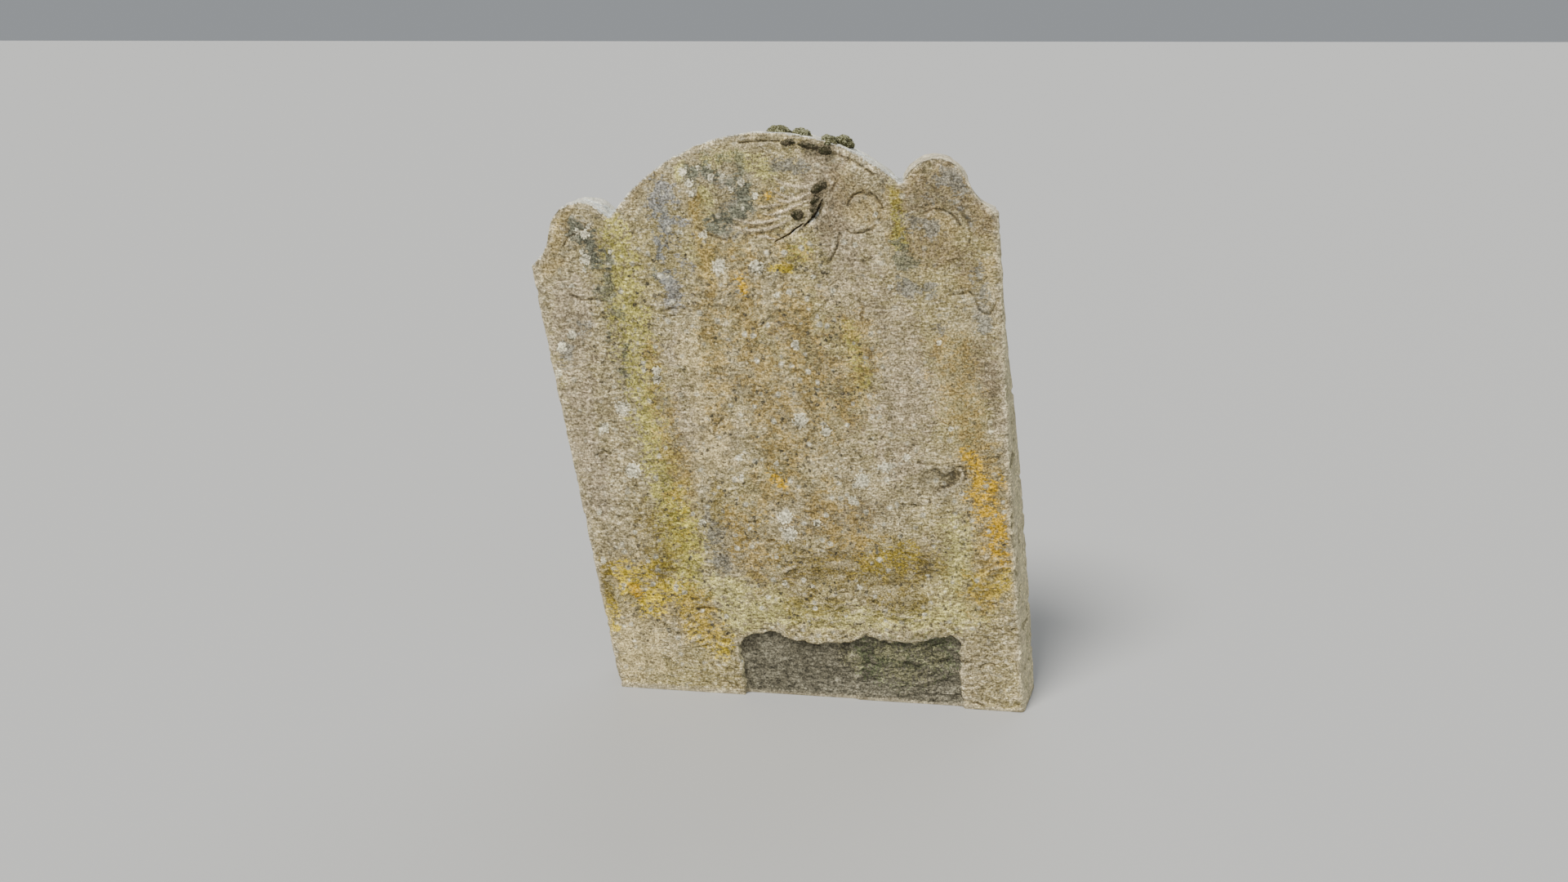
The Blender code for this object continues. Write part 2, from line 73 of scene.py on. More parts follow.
def makeCamera():
    swing = math.radians(photoView["swing"])
    height = math.radians(photoView["height"])
    away = Vector((
        math.sin(swing) * math.cos(height),
        -math.cos(swing) * math.cos(height),
        math.sin(height),
    ))
    target = Vector(photoView["target"])
    cameraData = bpy.data.cameras.new("photoCamera")
    cameraData.lens = photoView["lens"]
    cameraData.sensor_width = photoView["sensor"]
    cameraData.clip_start = 0.05
    cameraData.clip_end = 400
    camera = bpy.data.objects.new("photoCamera", cameraData)
    camera.rotation_mode = "QUATERNION"
    camera.location = target + away * photoView["distance"]
    camera.rotation_quaternion = (-away).to_track_quat("-Z", "Y")
    bpy.context.scene.collection.objects.link(camera)
    bpy.context.scene.camera = camera
    return camera


camera = makeCamera()


def photoPixels(points):
    # where points of the model lie in the photograph's 1920 by 1080 frame
    turn = np.array(camera.rotation_quaternion.to_matrix())
    seen = (points - np.array(camera.location)) @ turn
    focal = photoView["frameSize"][0] * photoView["lens"] / photoView["sensor"]
    across = photoView["frameSize"][0] / 2 - focal * seen[:, 0] / seen[:, 2]
    down = photoView["frameSize"][1] / 2 + focal * seen[:, 1] / seen[:, 2]
    return np.stack([across, down], axis=1)


def ramp(values, low, high):
    share = np.clip((values - low) / (high - low), 0.0, 1.0)
    return share * share * (3.0 - 2.0 * share)


# Noise for the relief: the same gradient noise each run
noiseRandom = np.random.default_rng(41)
noiseOrder = np.tile(noiseRandom.permutation(256), 3)
noiseSlopes = noiseRandom.normal(size=(256, 3))
noiseSlopes /= np.linalg.norm(noiseSlopes, axis=1)[:, None]


def noiseAt(points, cell, offset=0.0):
    # about -0.6 to 0.6; cell is one size in metres, or one for each axis
    place = points / np.array(cell) + offset
    whole = np.floor(place).astype(np.int64)
    part = place - whole
    fade = part ** 3 * (part * (part * 6.0 - 15.0) + 10.0)
    whole &= 255
    total = np.zeros(len(points))
    for corner in range(8):
        step = np.array([corner & 1, corner >> 1 & 1, corner >> 2 & 1])
        found = noiseOrder[whole[:, 0] + step[0]]
        found = noiseOrder[found + whole[:, 1] + step[1]]
        found = noiseOrder[found + whole[:, 2] + step[2]]
        weight = np.prod(np.where(step == 1, fade, 1.0 - fade), axis=1)
        total += weight * np.sum(noiseSlopes[found] * (part - step), axis=1)
    return total


def noiseLayers(points, cell, layers=3, offset=0.0):
    total = np.zeros(len(points))
    for layer in range(layers):
        total += noiseAt(points, np.array(cell) / 2 ** layer, offset + 17.3 * layer) / 2 ** layer
    return total


def chainMask(pixels, chains):
    # each chain is a run of (x, y, radius) in photo pixels: 1 on it, fading to 0 at two radii
    best = np.zeros(len(pixels))
    for chain in chains:
        steps = list(zip(chain, chain[1:])) or [(chain[0], chain[0])]
        for first, second in steps:
            start = np.array(first[:2], float)
            along = np.array(second[:2], float) - start
            reach = max(float(along @ along), 1e-9)
            share = np.clip((pixels - start) @ along / reach, 0.0, 1.0)
            gap = np.linalg.norm(pixels - start - share[:, None] * along, axis=1)
            radius = first[2] + share * (second[2] - first[2])
            best = np.maximum(best, 1.0 - ramp(gap / radius, 0.2, 2.0))
    return best


def lineMask(pixels, lines, width):
    return chainMask(pixels, [[(x, y, width) for x, y in line] for line in lines])


def creaseMask(pixels, lines, width):
    # 1 on a line, falling off sharply like a worn crest, and thinner towards both ends
    best = np.zeros(len(pixels))
    for line in lines:
        count = len(line) - 1
        widths = [width * (0.35 + 0.65 * math.sin(math.pi * index / count)) for index in range(count + 1)]
        for index in range(count):
            start = np.array(line[index], float)
            along = np.array(line[index + 1], float) - start
            share = np.clip((pixels - start) @ along / float(along @ along), 0.0, 1.0)
            gap = np.linalg.norm(pixels - start - share[:, None] * along, axis=1)
            radius = widths[index] + share * (widths[index + 1] - widths[index])
            best = np.maximum(best, np.exp(-gap / radius) * radius / width)
    return best


def meshPoints(mesh):
    points = np.empty(len(mesh.vertices) * 3, np.float32)
    mesh.vertices.foreach_get("co", points)
    return points.reshape(-1, 3).astype(float)


def setPoints(mesh, points):
    mesh.vertices.foreach_set("co", points.astype(np.float32).ravel())
    mesh.update()


def meshEdges(mesh):
    edges = np.empty(len(mesh.edges) * 2, np.int32)
    mesh.edges.foreach_get("vertices", edges)
    return edges.reshape(-1, 2)


def evened(values, edges, rounds):
    # values replaced by the average of their neighbours on the mesh, a number of times
    count = len(values)
    links = np.bincount(edges.ravel(), minlength=count)
    columns = values.reshape(count, -1).T.copy()
    for turn in range(rounds):
        for column in columns:
            total = np.bincount(edges[:, 0], column[edges[:, 1]], count)
            total += np.bincount(edges[:, 1], column[edges[:, 0]], count)
            column[:] = total / links
    return columns.T.reshape(values.shape)


def normalsOf(mesh, points):
    copy = mesh.copy()
    setPoints(copy, points)
    normals = np.empty(len(copy.vertices) * 3, np.float32)
    copy.vertex_normals.foreach_get("vector", normals)
    bpy.data.meshes.remove(copy)
    return normals.reshape(-1, 3).astype(float)


def mergedCopy(nodeName):
    # a merged copy of a node's mesh, which itself stays as it is
    work = bmesh.new()
    work.from_mesh(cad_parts[nodeName].data)
    bmesh.ops.remove_doubles(work, verts=work.verts, dist=0.00001)
    mesh = bpy.data.meshes.new(nodeName + "Shape")
    work.to_mesh(mesh)
    work.free()
    return mesh


def remeshed(mesh, voxel):
    holder = bpy.data.objects.new("remeshHolder", mesh)
    bpy.context.scene.collection.objects.link(holder)
    remesh = holder.modifiers.new("voxels", "REMESH")
    remesh.mode = "VOXEL"
    remesh.voxel_size = voxel
    graph = bpy.context.evaluated_depsgraph_get()
    made = bpy.data.meshes.new_from_object(holder.evaluated_get(graph))
    bpy.data.objects.remove(holder)
    bpy.data.meshes.remove(mesh)
    return made


def reduced(mesh, triangles, plain):
    # collapses edges, first where the mask called plain is 1
    holder = bpy.data.objects.new("reduceHolder", mesh)
    bpy.context.scene.collection.objects.link(holder)
    group = holder.vertex_groups.new(name="plain")
    levels = np.round(plain * 4).astype(int)
    for level in range(5):
        group.add([int(index) for index in np.flatnonzero(levels == level)], 0.2 + 0.2 * level, "REPLACE")
    decimate = holder.modifiers.new("fewer", "DECIMATE")
    decimate.ratio = triangles / sum(len(face.vertices) - 2 for face in mesh.polygons)
    decimate.use_collapse_triangulate = True
    decimate.vertex_group = group.name
    decimate.vertex_group_factor = stone["frontCare"]
    graph = bpy.context.evaluated_depsgraph_get()
    made = bpy.data.meshes.new_from_object(holder.evaluated_get(graph))
    bpy.data.objects.remove(holder)
    bpy.data.meshes.remove(mesh)
    return made


def addAttribute(mesh, name, values):
    layer = mesh.attributes.new(name, "FLOAT", "POINT")
    layer.data.foreach_set("value", np.asarray(values, np.float32))


def addPiece(name, mesh, material, node):
    mesh.name = name
    mesh.materials.clear()
    mesh.materials.append(material)
    piece = bpy.data.objects.new(name, mesh)
    bpy.context.scene.collection.objects.link(piece)
    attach(piece, "root")
    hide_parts(node)
    return piece


def refined(mesh, box):
    # splits the faces of the front that lie in a box of photo pixels
    pixels = photoPixels(meshPoints(mesh))
    left, right, top, bottom = box
    inside = (pixels[:, 0] > left) & (pixels[:, 0] < right) & (pixels[:, 1] > top) & (pixels[:, 1] < bottom)
    work = bmesh.new()
    work.from_mesh(mesh)
    work.verts.ensure_lookup_table()
    chosen = [vertex for vertex in work.verts if inside[vertex.index] and vertex.co.y < -0.02]
    edges = {edge for vertex in chosen for edge in vertex.link_edges}
    bmesh.ops.subdivide_edges(work, edges=list(edges), cuts=1, use_grid_fill=True)
    work.to_mesh(mesh)
    work.free()
    return mesh


# What can be changed on the stone: sizes in metres, and cells are the sizes of its noises
stone = {
    "node": "headstone",
    "lean": math.radians(7.5),
    "frontY": -0.046,
    "voxel": 0.0025,
    "triangles": 196000,
    "frontCare": 0.0012,    # how much more the front keeps of its triangles
    "fineBox": (893, 1032, 206, 302),   # the swag, left, right, top and bottom in photo pixels
    "undulation": 0.00224,
    "undulationCell": 0.055,
    "bedding": 0.0015,
    "beddingLow": 0.0033,   # more, near the foot
    "bedCell": (0.034, 0.030, 0.0120),
    "fineBedCell": (0.017, 0.016, 0.0068),
    "grain": 0.0006,
    "grainCell": (0.0100, 0.0100, 0.0080),
    "fineGrainCell": 0.0058,
    "pits": 0.0012,
    "pitCell": (0.014, 0.014, 0.010),
    "upperCalm": 0.60,      # how much smoother the upper face is
    "flakes": 0.0010,
    "flakeCell": (0.080, 0.060, 0.038),
    "chips": 0.0032,
    "chipCell": (0.026, 0.026, 0.020),
    "sideRough": 0.0022,
    "sideCell": 0.030,
    "backRough": 0.0030,
    "backCell": (0.060, 0.060, 0.035),
    "foldHeight": 0.0028,
    "foldWidth": 1.9,       # this and the other widths are in photo pixels
    "faintShare": 0.45,     # how high a faint fold is against a clear one
    "faintWidth": 2.2,
    "crestWidth": 1.25,     # of the painted highlight on a crest
    "crackDepth": 0.0032,
    "crackWidth": 1.5,
    "creviceDepth": 0.0055,
    "fineDepth": 0.0020,
    "fineWidth": 1.2,
    "spallBox": (-0.150, 0.275, 0.160),   # left, right and top of the broken skin
    "spallRagged": 0.0096,
    "spallCell": 0.034,
    "spallDeep": 0.03,      # behind this nothing counts as broken skin
}

# Lines on the face, as (x, y) in photo pixels: first the crests of the swag's folds
foldLines = [
    [(944, 214), (955, 223), (966, 227), (979, 229), (991, 229), (999, 222), (1008, 216),
     (1015, 218), (1018, 225)],
    [(946, 234), (955, 238), (966, 242), (975, 244), (983, 240), (993, 235)],
    [(950, 242), (956, 246), (966, 247), (976, 243)],
    [(927, 254), (938, 253), (951, 251), (957, 251)],
    [(934, 262), (945, 263), (955, 260), (966, 256), (976, 251), (987, 246)],
    [(898, 268), (911, 272), (924, 273), (937, 272), (951, 269), (960, 266)],
    [(896, 277), (910, 282), (925, 282), (938, 281), (951, 277), (961, 272), (968, 269)],
    [(928, 289), (938, 290), (949, 293)],
]
faintLines = [
    [(853, 244), (877, 236), (891, 232), (907, 225)],
    [(921, 312), (945, 316), (965, 313), (983, 312)],
    [(912, 331), (935, 328), (965, 327)],
    [(1012, 327), (1030, 328), (1048, 329)],
    [(1105, 320), (1120, 326), (1136, 329)],
    [(1038, 217), (1053, 219), (1070, 227), (1081, 236)],
]
# the split, with a radius at each point
splits = [
    [(949, 296, 0.4), (957, 292, 0.7), (966, 287, 1.1), (973, 281, 0.9), (983, 274, 0.5)],
    [(983, 278, 0.5), (989, 273, 0.9), (994, 268, 1.1), (999, 261, 0.9), (1004, 252, 0.8), (1007, 244, 0.4)],
]
# what is left of the border, the rosette's and roundels' rings and the swag's lower edge
fineLines = [
    [(853, 278), (864, 286), (878, 291), (889, 294)],
    [(905, 175), (922, 173), (954, 172)],
    [(1020, 188), (1029, 190), (1047, 198), (1059, 206), (1070, 214)],
    [(1037, 252), (1041, 245), (1045, 239), (1051, 236), (1058, 235)],
    [(1065, 236), (1072, 240), (1077, 247), (1081, 255)],
    [(1036, 281), (1041, 285), (1048, 286), (1056, 285), (1062, 281)],
    [(1130, 262), (1142, 256), (1156, 257), (1168, 264), (1176, 275)],
    [(690, 300), (696, 290), (707, 284)],
]
# cracks, lips of flakes and the edge of the small hollow
crackLines = [
    [(1028, 286), (1027, 296), (1025, 304), (1021, 312), (1016, 320)],
    [(1023, 224), (1018, 234)],
    [(801, 380), (813, 381), (823, 378), (838, 378), (845, 381)],
    [(700, 362), (715, 368), (728, 366), (741, 369)],
    [(1162, 361), (1178, 360), (1186, 357)],
    [(1186, 357), (1194, 365), (1200, 381), (1206, 385), (1213, 385), (1218, 374), (1222, 367), (1228, 366)],
    [(1125, 567), (1129, 569), (1136, 569), (1143, 569), (1150, 570), (1154, 575), (1159, 577), (1169, 575)],
    [(1169, 575), (1171, 573), (1177, 572), (1182, 575), (1183, 581), (1182, 586), (1180, 591)],
    [(1139, 612), (1139, 619), (1132, 621), (1116, 619)],
    [(990, 745), (1004, 744), (1021, 746)],
    [(994, 769), (1010, 768), (1025, 770)],
    [(855, 746), (868, 745), (882, 748)],
    [(1008, 376), (1013, 368), (1022, 368)],
    [(1052, 368), (1057, 378), (1055, 390)],
    [(874, 532), (878, 520), (885, 513)],
    [(729, 558), (740, 553), (748, 556)],
]
# the swag and its tails, as runs of (x, y, radius)
swagPlaces = [
    [(840, 262, 54), (880, 252, 54), (950, 250, 46), (985, 240, 34)],
    [(1030, 270, 20), (1020, 310, 20)],
]
# how much of the carving is gone, and where: runs of (x, y, radius)
wornPlaces = {
    0.86: [
        [(1147, 288, 34)],
    ],
    0.94: swagPlaces,
    0.72: [
        [(722, 331, 50)],
        [(801, 288, 36)],
        [(1120, 215, 14), (1155, 200, 14), (1185, 215, 14)],
        [(840, 395, 70), (1090, 395, 70)],
        [(850, 470, 80), (1110, 470, 80)],
        [(860, 560, 70), (1050, 560, 60)],
        [(870, 630, 70), (1060, 635, 50)],
    ],
    0.50: [
        [(1020, 185, 14), (1050, 198, 14), (1090, 228, 14)],
        [(1120, 350, 16), (1175, 360, 16)],
        [(800, 216, 14), (846, 192, 14), (910, 175, 14)],
        [(690, 270, 14), (720, 255, 14), (745, 270, 14)],
    ],
}
smoothPlaces = [
    [(1138, 590, 11), (1152, 586, 13), (1168, 584, 11)],
    [(745, 775, 30), (790, 800, 34), (840, 820, 30)],
]
pittedPlaces = [
    [(960, 350, 90), (975, 480, 100), (960, 600, 110), (1000, 680, 150)],
    [(890, 640, 110), (850, 720, 90)],
    [(820, 330, 50), (780, 420, 60)],
    [(1180, 640, 60), (1160, 720, 70)],
]


def stonePlaces(points):
    # the same points on the upright stone: x across, y into it, z up its middle line
    turnCos = math.cos(stone["lean"])
    turnSin = math.sin(stone["lean"])
    across = points[:, 0] * turnCos + points[:, 2] * turnSin
    up = points[:, 2] * turnCos - points[:, 0] * turnSin
    return np.stack([across, points[:, 1] - stone["frontY"], up], axis=1)


def withinSpall(places):
    left, right, top = stone["spallBox"]
    return (places[:, 0] > left) & (places[:, 0] < right) & (places[:, 2] < top)


def tearSpallEdge(points):
    # the broken skin near the foot gets a ragged outline
    places = stonePlaces(points)
    left, right, top = stone["spallBox"]
    near = 0.01
    far = 0.05
    around = ramp(places[:, 0], left - far, left - near)
    around *= 1.0 - ramp(places[:, 0], right + near, right + far)
    around *= 1.0 - ramp(places[:, 2], top + near, top + far)
    around *= 1.0 - ramp(places[:, 1], 0.020, stone["spallDeep"])
    around *= ramp(points[:, 2], 0.002, 0.02)
    flat = places * np.array([1.0, 0.0, 1.0])
    for axis, offset in ((0, 51.0), (2, 57.0)):
        shift = noiseLayers(flat, stone["spallCell"], 3, offset) * stone["spallRagged"]
        points[:, axis] += shift * around


def wearCarving(points, edges, pixels, front):
    # where carving has worn away, the face goes back to its own average
    worn = np.zeros(len(points))
    for share, chains in wornPlaces.items():
        worn = np.maximum(worn, ramp(chainMask(pixels, chains), 0.0, 0.7) * share)
    worn *= front
    farSoft = evened(points[:, 1], edges, 50)
    points[:, 1] += worn * (farSoft - points[:, 1])


def skinRelief(places, pixels):
    # how far the weathered skin goes in: swells, bedding wrinkles, grain, pits and flakes
    low = 1.0 - ramp(places[:, 2], 0.10, 0.46)
    warped = places.copy()
    warped[:, 2] += noiseAt(places, 0.075, 3.1) * 0.022 + noiseAt(places, 0.028, 3.7) * 0.006
    warped[:, 0] += noiseAt(places, 0.05, 4.3) * 0.02
    calm = 0.45 + 0.85 * ramp(noiseAt(places, (0.10, 0.10, 0.07), 5.5), -0.25, 0.25)
    wrinkles = noiseAt(warped, stone["bedCell"], 5.0)
    wrinkles += 0.6 * noiseAt(warped, stone["fineBedCell"], 9.0)
    bedding = stone["bedding"] + (stone["beddingLow"] - stone["bedding"]) * low
    push = noiseLayers(places, stone["undulationCell"], 2, 1.0) * stone["undulation"]
    push += wrinkles * calm * bedding
    grain = noiseAt(places, stone["grainCell"], 2.0) + 0.8 * noiseAt(places, stone["fineGrainCell"], 4.0)
    push += grain * stone["grain"] * (0.6 + 0.6 * calm)
    pitted = 0.35 + 0.65 * chainMask(pixels, pittedPlaces)
    push *= 1.0 - stone["upperCalm"] * ramp(places[:, 2], 0.42, 0.74) * (1.3 - pitted)
    push += ramp(noiseAt(places, stone["pitCell"], 6.0), 0.20, 0.42) * stone["pits"] * pitted
    flakes = noiseLayers(warped, stone["flakeCell"], 2, 7.0) * 5.0
    stepped = np.floor(flakes) + ramp(flakes - np.floor(flakes), 0.0, 0.14)
    push += (stepped - flakes) * stone["flakes"] * (0.7 + 0.8 * low)
    return push


def faceRelief(places, pixels, front, carved):
    # the skin, smoother on the carving, with the crests, cracks and the split
    relief = skinRelief(places, pixels) * front
    relief *= 1.0 - 0.60 * carved
    broken = ramp(places[:, 1], 0.0035, 0.0055) * withinSpall(places)
    smoother = 1.25 * (1.0 - ramp(places[:, 0], 0.02, 0.05)) - 0.40
    relief *= 1.0 - smoother * broken
    faintHeight = stone["foldHeight"] * stone["faintShare"]
    relief -= creaseMask(pixels, foldLines, stone["foldWidth"]) * stone["foldHeight"] * front
    relief -= creaseMask(pixels, faintLines, stone["faintWidth"]) * faintHeight * front
    relief *= 1.0 - 0.75 * ramp(chainMask(pixels, smoothPlaces), 0.3, 0.8)
    breaks = 0.7 + 0.9 * noiseAt(places, 0.02, 8.0)
    relief += lineMask(pixels, crackLines, stone["crackWidth"]) * stone["crackDepth"] * front * breaks
    relief += lineMask(pixels, fineLines, stone["fineWidth"]) * stone["fineDepth"] * front
    relief += chainMask(pixels, splits) * stone["creviceDepth"] * (places[:, 1] < 0.03)
    return relief


def weatherStone(mesh):
    # moves the surface, and returns where it may lose triangles
    points = meshPoints(mesh)
    edges = meshEdges(mesh)
    tearSpallEdge(points)
    normals = normalsOf(mesh, evened(points, edges, 8))
    front = ramp(-normals[:, 1], 0.45, 0.85)
    back = ramp(normals[:, 1], 0.45, 0.85)
    side = 1.0 - np.maximum(front, back)
    rim = evened(side, edges, 4)
    pixels = photoPixels(points)
    places = stonePlaces(points)
    wearCarving(points, edges, pixels, front)
    carved = ramp(chainMask(pixels, swagPlaces), 0.1, 0.6)
    relief = faceRelief(places, pixels, front, carved)
    relief += noiseLayers(places, stone["backCell"], 4, 11.0) * stone["backRough"] * back
    relief += noiseLayers(places, stone["sideCell"], 3, 13.0) * stone["sideRough"] * side
    relief += ramp(noiseAt(places, stone["chipCell"], 15.0), 0.10, 0.34) * stone["chips"] * rim
    relief *= ramp(points[:, 2], 0.0, 0.006)
    points -= normals * relief[:, None]

    lowCorner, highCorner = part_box(stone["node"])
    points = np.clip(points, np.array(lowCorner), np.array(highCorner))
    points[:, 2] = np.where(points[:, 2] < 0.0014, 0.0, points[:, 2])
    setPoints(mesh, points)
    return np.maximum(1.0 - front, 0.35 * (1.0 - carved))


# Stains on the face, with the painted shade in the small hollow: runs of (x, y, radius) in photo pixels
stains = {
    "algae": [
        [(745, 268, 10), (751, 293, 17), (760, 334, 19), (767, 383, 20), (778, 425, 22), (787, 470, 19),
         (795, 520, 18), (811, 572, 17), (824, 625, 19), (836, 666, 22), (843, 700, 20)],
        [(1092, 222, 4), (1098, 260, 7), (1103, 300, 8)],
        [(975, 312, 13), (985, 306, 10)],
        [(1040, 400, 8), (1060, 470, 9)],
    ],
    "warmBuff": [
        [(1035, 235, 20), (1070, 255, 22), (1098, 245, 16)],
        [(1105, 290, 20), (1150, 300, 28), (1150, 265, 22)],
        [(1125, 225, 20), (1160, 215, 20), (1195, 250, 14), (1212, 290, 16)],
        [(690, 262, 12), (682, 300, 12), (672, 325, 12)],
        [(856, 250, 13), (860, 300, 12), (868, 350, 14)],
        [(1205, 330, 14), (1180, 345, 14)],
        [(775, 235, 10), (800, 210, 10)],
        [(1195, 560, 24), (1210, 620, 28), (1220, 680, 26), (1205, 730, 24)],
        [(765, 700, 24), (800, 725, 28), (835, 735, 28), (862, 770, 24)],
        [(830, 560, 16), (838, 620, 18), (842, 670, 18)],
    ],
    "darkGreen": [
        [(730, 285, 9), (738, 330, 11), (746, 380, 11), (758, 430, 10), (766, 470, 8)],
        [(702, 274, 12), (718, 296, 16), (732, 322, 14)],
        [(810, 262, 12), (812, 300, 13), (806, 335, 13)],
        [(868, 255, 14), (880, 268, 14), (908, 262, 12)],
        [(860, 205, 14), (900, 205, 16), (912, 235, 14)],
        [(1102, 300, 10), (1110, 325, 12)],
    ],
    "ochre": [
        [(905, 268, 13), (937, 275, 12)],
        [(850, 255, 10), (856, 290, 12), (864, 318, 10)],
        [(848, 738, 17), (872, 772, 15)],
        [(930, 235, 12), (946, 242, 14)],
        [(955, 300, 13), (978, 312, 13)],
        [(895, 312, 11), (925, 322, 12)],
        [(880, 300, 14), (905, 308, 12)],
        [(845, 215, 8), (850, 250, 9)],
        [(852, 260, 10), (862, 290, 12), (866, 330, 9)],
        [(942, 240, 8)],
        [(868, 360, 14), (876, 450, 15), (880, 520, 12)],
        [(910, 340, 14), (915, 420, 26), (940, 470, 30), (960, 540, 28), (950, 600, 22)],
        [(975, 380, 26), (985, 450, 30), (1000, 520, 24)],
        [(1045, 400, 18), (1060, 440, 18), (1040, 500, 18)],
        [(905, 640, 26), (930, 690, 24)],
        [(1000, 620, 26), (1050, 660, 24)],
        [(1160, 430, 24), (1180, 500, 22), (1200, 560, 14)],
        [(795, 430, 12), (812, 500, 12), (830, 600, 14)],
        [(1195, 540, 14), (1208, 600, 24), (1220, 660, 22), (1205, 730, 22)],
    ],
    "orange": [
        [(1184, 555, 8), (1196, 572, 6)],
        [(1200, 592, 10), (1226, 596, 9)],
        [(1196, 606, 12), (1206, 622, 12)],
        [(1208, 634, 13), (1226, 648, 13), (1222, 668, 14), (1230, 684, 9)],
        [(778, 720, 7), (781, 728, 6)],
        [(947, 580, 6), (958, 592, 6)],
        [(942, 239, 5)],
        [(906, 342, 5), (912, 360, 4)],
    ],
    "yellow": [
        [(796, 738, 15), (820, 720, 14)],
        [(830, 718, 15), (846, 738, 17), (862, 765, 18), (884, 790, 13)],
        [(757, 699, 12), (772, 706, 13)],
        [(770, 716, 13), (790, 706, 12)],
        [(802, 690, 9), (815, 688, 8)],
        [(1196, 716, 16), (1216, 722, 14), (1232, 706, 10)],
        [(745, 740, 9), (750, 770, 8)],
        [(826, 600, 10), (836, 660, 12)],
        [(1060, 690, 14), (1110, 680, 14)],
        [(945, 328, 5), (970, 328, 5)],
    ],
    "hollowFloor": [
        [(1142, 590, 17), (1156, 587, 14), (1172, 583, 11)],
        [(1120, 608, 8)],
    ],
    "hollowShade": [
        [(1178, 576, 3), (1181, 584, 4), (1174, 592, 4), (1160, 597, 4), (1148, 602, 3)],
        [(1156, 577, 3), (1166, 577, 2)],
    ],
    "spallPale": [
        [(1032, 800, 8), (1046, 812, 8)],
        [(1078, 796, 8), (1100, 802, 8)],
        [(1120, 796, 10), (1146, 806, 12)],
        [(1090, 822, 10), (1130, 826, 10)],
    ],
    "coolGrey": [
        [(808, 232, 14), (814, 262, 17), (820, 300, 19), (824, 340, 17), (822, 366, 12)],
    ],
    "dark": [
        [(705, 275, 12), (722, 300, 16), (738, 322, 12)],
        [(800, 225, 14), (815, 255, 20), (822, 300, 18), (826, 350, 18)],
        [(865, 220, 20), (895, 240, 24), (905, 262, 16)],
        [(880, 262, 16), (898, 285, 10)],
        [(1118, 272, 10), (1142, 282, 11)],
        [(1150, 246, 4), (1175, 252, 5), (1188, 275, 5)],
        [(1100, 350, 12), (1135, 355, 10)],
        [(1145, 402, 8)],
        [(1005, 340, 8)],
        [(868, 620, 11), (885, 690, 11)],
        [(1195, 330, 8), (1205, 400, 9)],
        [(940, 205, 9), (985, 205, 7)],
        [(1138, 224, 9), (1160, 216, 11), (1182, 236, 10)],
        [(1128, 240, 8), (1150, 240, 8)],
        [(710, 400, 12), (690, 440, 8)],
    ],
    "olive": [
        [(960, 680, 16), (1000, 700, 24), (1050, 690, 24), (1100, 700, 28), (1140, 695, 18)],
        [(1070, 672, 14), (1110, 676, 14)],
        [(975, 742, 14), (1016, 744, 16)],
        [(1086, 738, 18), (1126, 742, 12)],
        [(905, 660, 16), (930, 640, 12)],
        [(800, 640, 20), (815, 690, 22)],
        [(738, 690, 10), (744, 730, 10)],
        [(1094, 232, 7), (1099, 262, 9), (1104, 300, 10), (1116, 322, 9)],
        [(880, 600, 12), (880, 650, 14)],
    ],
    "cream": [
        [(890, 755, 16), (960, 748, 16), (1050, 758, 14), (1130, 760, 14), (1200, 745, 20)],
        [(1180, 660, 24), (1170, 700, 26)],
        [(860, 720, 18), (940, 730, 20)],
        [(835, 212, 10), (846, 224, 11)],
        [(866, 198, 9), (905, 190, 8), (928, 196, 8)],
        [(860, 240, 14), (855, 305, 14), (868, 330, 12)],
        [(925, 205, 12), (940, 215, 10)],
    ],
    "palePink": [
        [(762, 760, 24), (785, 800, 34)],
        [(800, 770, 20)],
        [(850, 430, 20), (872, 500, 26), (872, 560, 22)],
    ],
    "shadeBrown": [
        [(1120, 235, 30), (1150, 215, 30), (1180, 235, 28), (1205, 270, 18)],
        [(1000, 240, 16), (1020, 270, 18), (1020, 210, 14)],
        [(1125, 300, 16), (1180, 320, 16)],
        [(1200, 430, 14), (1210, 480, 14)],
        [(935, 720, 14), (985, 700, 20), (1040, 690, 24), (1100, 700, 24), (1140, 680, 22)],
        [(1000, 640, 24), (1060, 630, 20)],
        [(960, 400, 18), (1000, 430, 18), (1045, 520, 16)],
        [(700, 275, 10), (735, 300, 10)],
    ],
    "pink": [
        [(860, 480, 34), (870, 540, 34)],
        [(700, 360, 22), (700, 430, 22), (712, 520, 22), (732, 610, 20)],
        [(830, 430, 20)],
        [(1040, 350, 40), (1090, 400, 40), (1110, 480, 44), (1100, 560, 30)],
        [(1000, 195, 22), (1030, 300, 30)],
        [(1220, 460, 20), (1225, 520, 12)],
    ],
    "spallRough": [
        [(1062, 806, 18), (1110, 812, 24), (1150, 800, 20)],
    ],
}
# white lichen: a radius, and the centres of its spots in photo pixels
whiteSpots = {
    8: [(980, 515), (1056, 589), (961, 633), (967, 654), (775, 576), (762, 500), (880, 327), (927, 327)],
    5: [(716, 287), (836, 210), (843, 224), (700, 411), (804, 454), (805, 465), (974, 422),
        (1044, 613), (682, 458)],
    6: [(688, 425), (1012, 528), (717, 318), (1085, 572), (740, 524)],
    4: [(870, 217), (908, 224), (924, 240), (862, 287), (1000, 640), (905, 560), (1110, 560), (860, 640)],
    3: [(855, 205), (885, 215), (895, 232), (737, 528), (996, 339), (951, 361), (951, 568), (908, 584),
        (1077, 573), (1164, 525), (1237, 575), (734, 627), (739, 687), (961, 714), (1052, 719),
        (716, 330), (832, 285), (1150, 420), (868, 204), (846, 238), (858, 288), (706, 283),
        (720, 277), (748, 308), (712, 308), (1047, 300), (1072, 262), (1090, 352), (700, 350),
        (958, 232)],
}
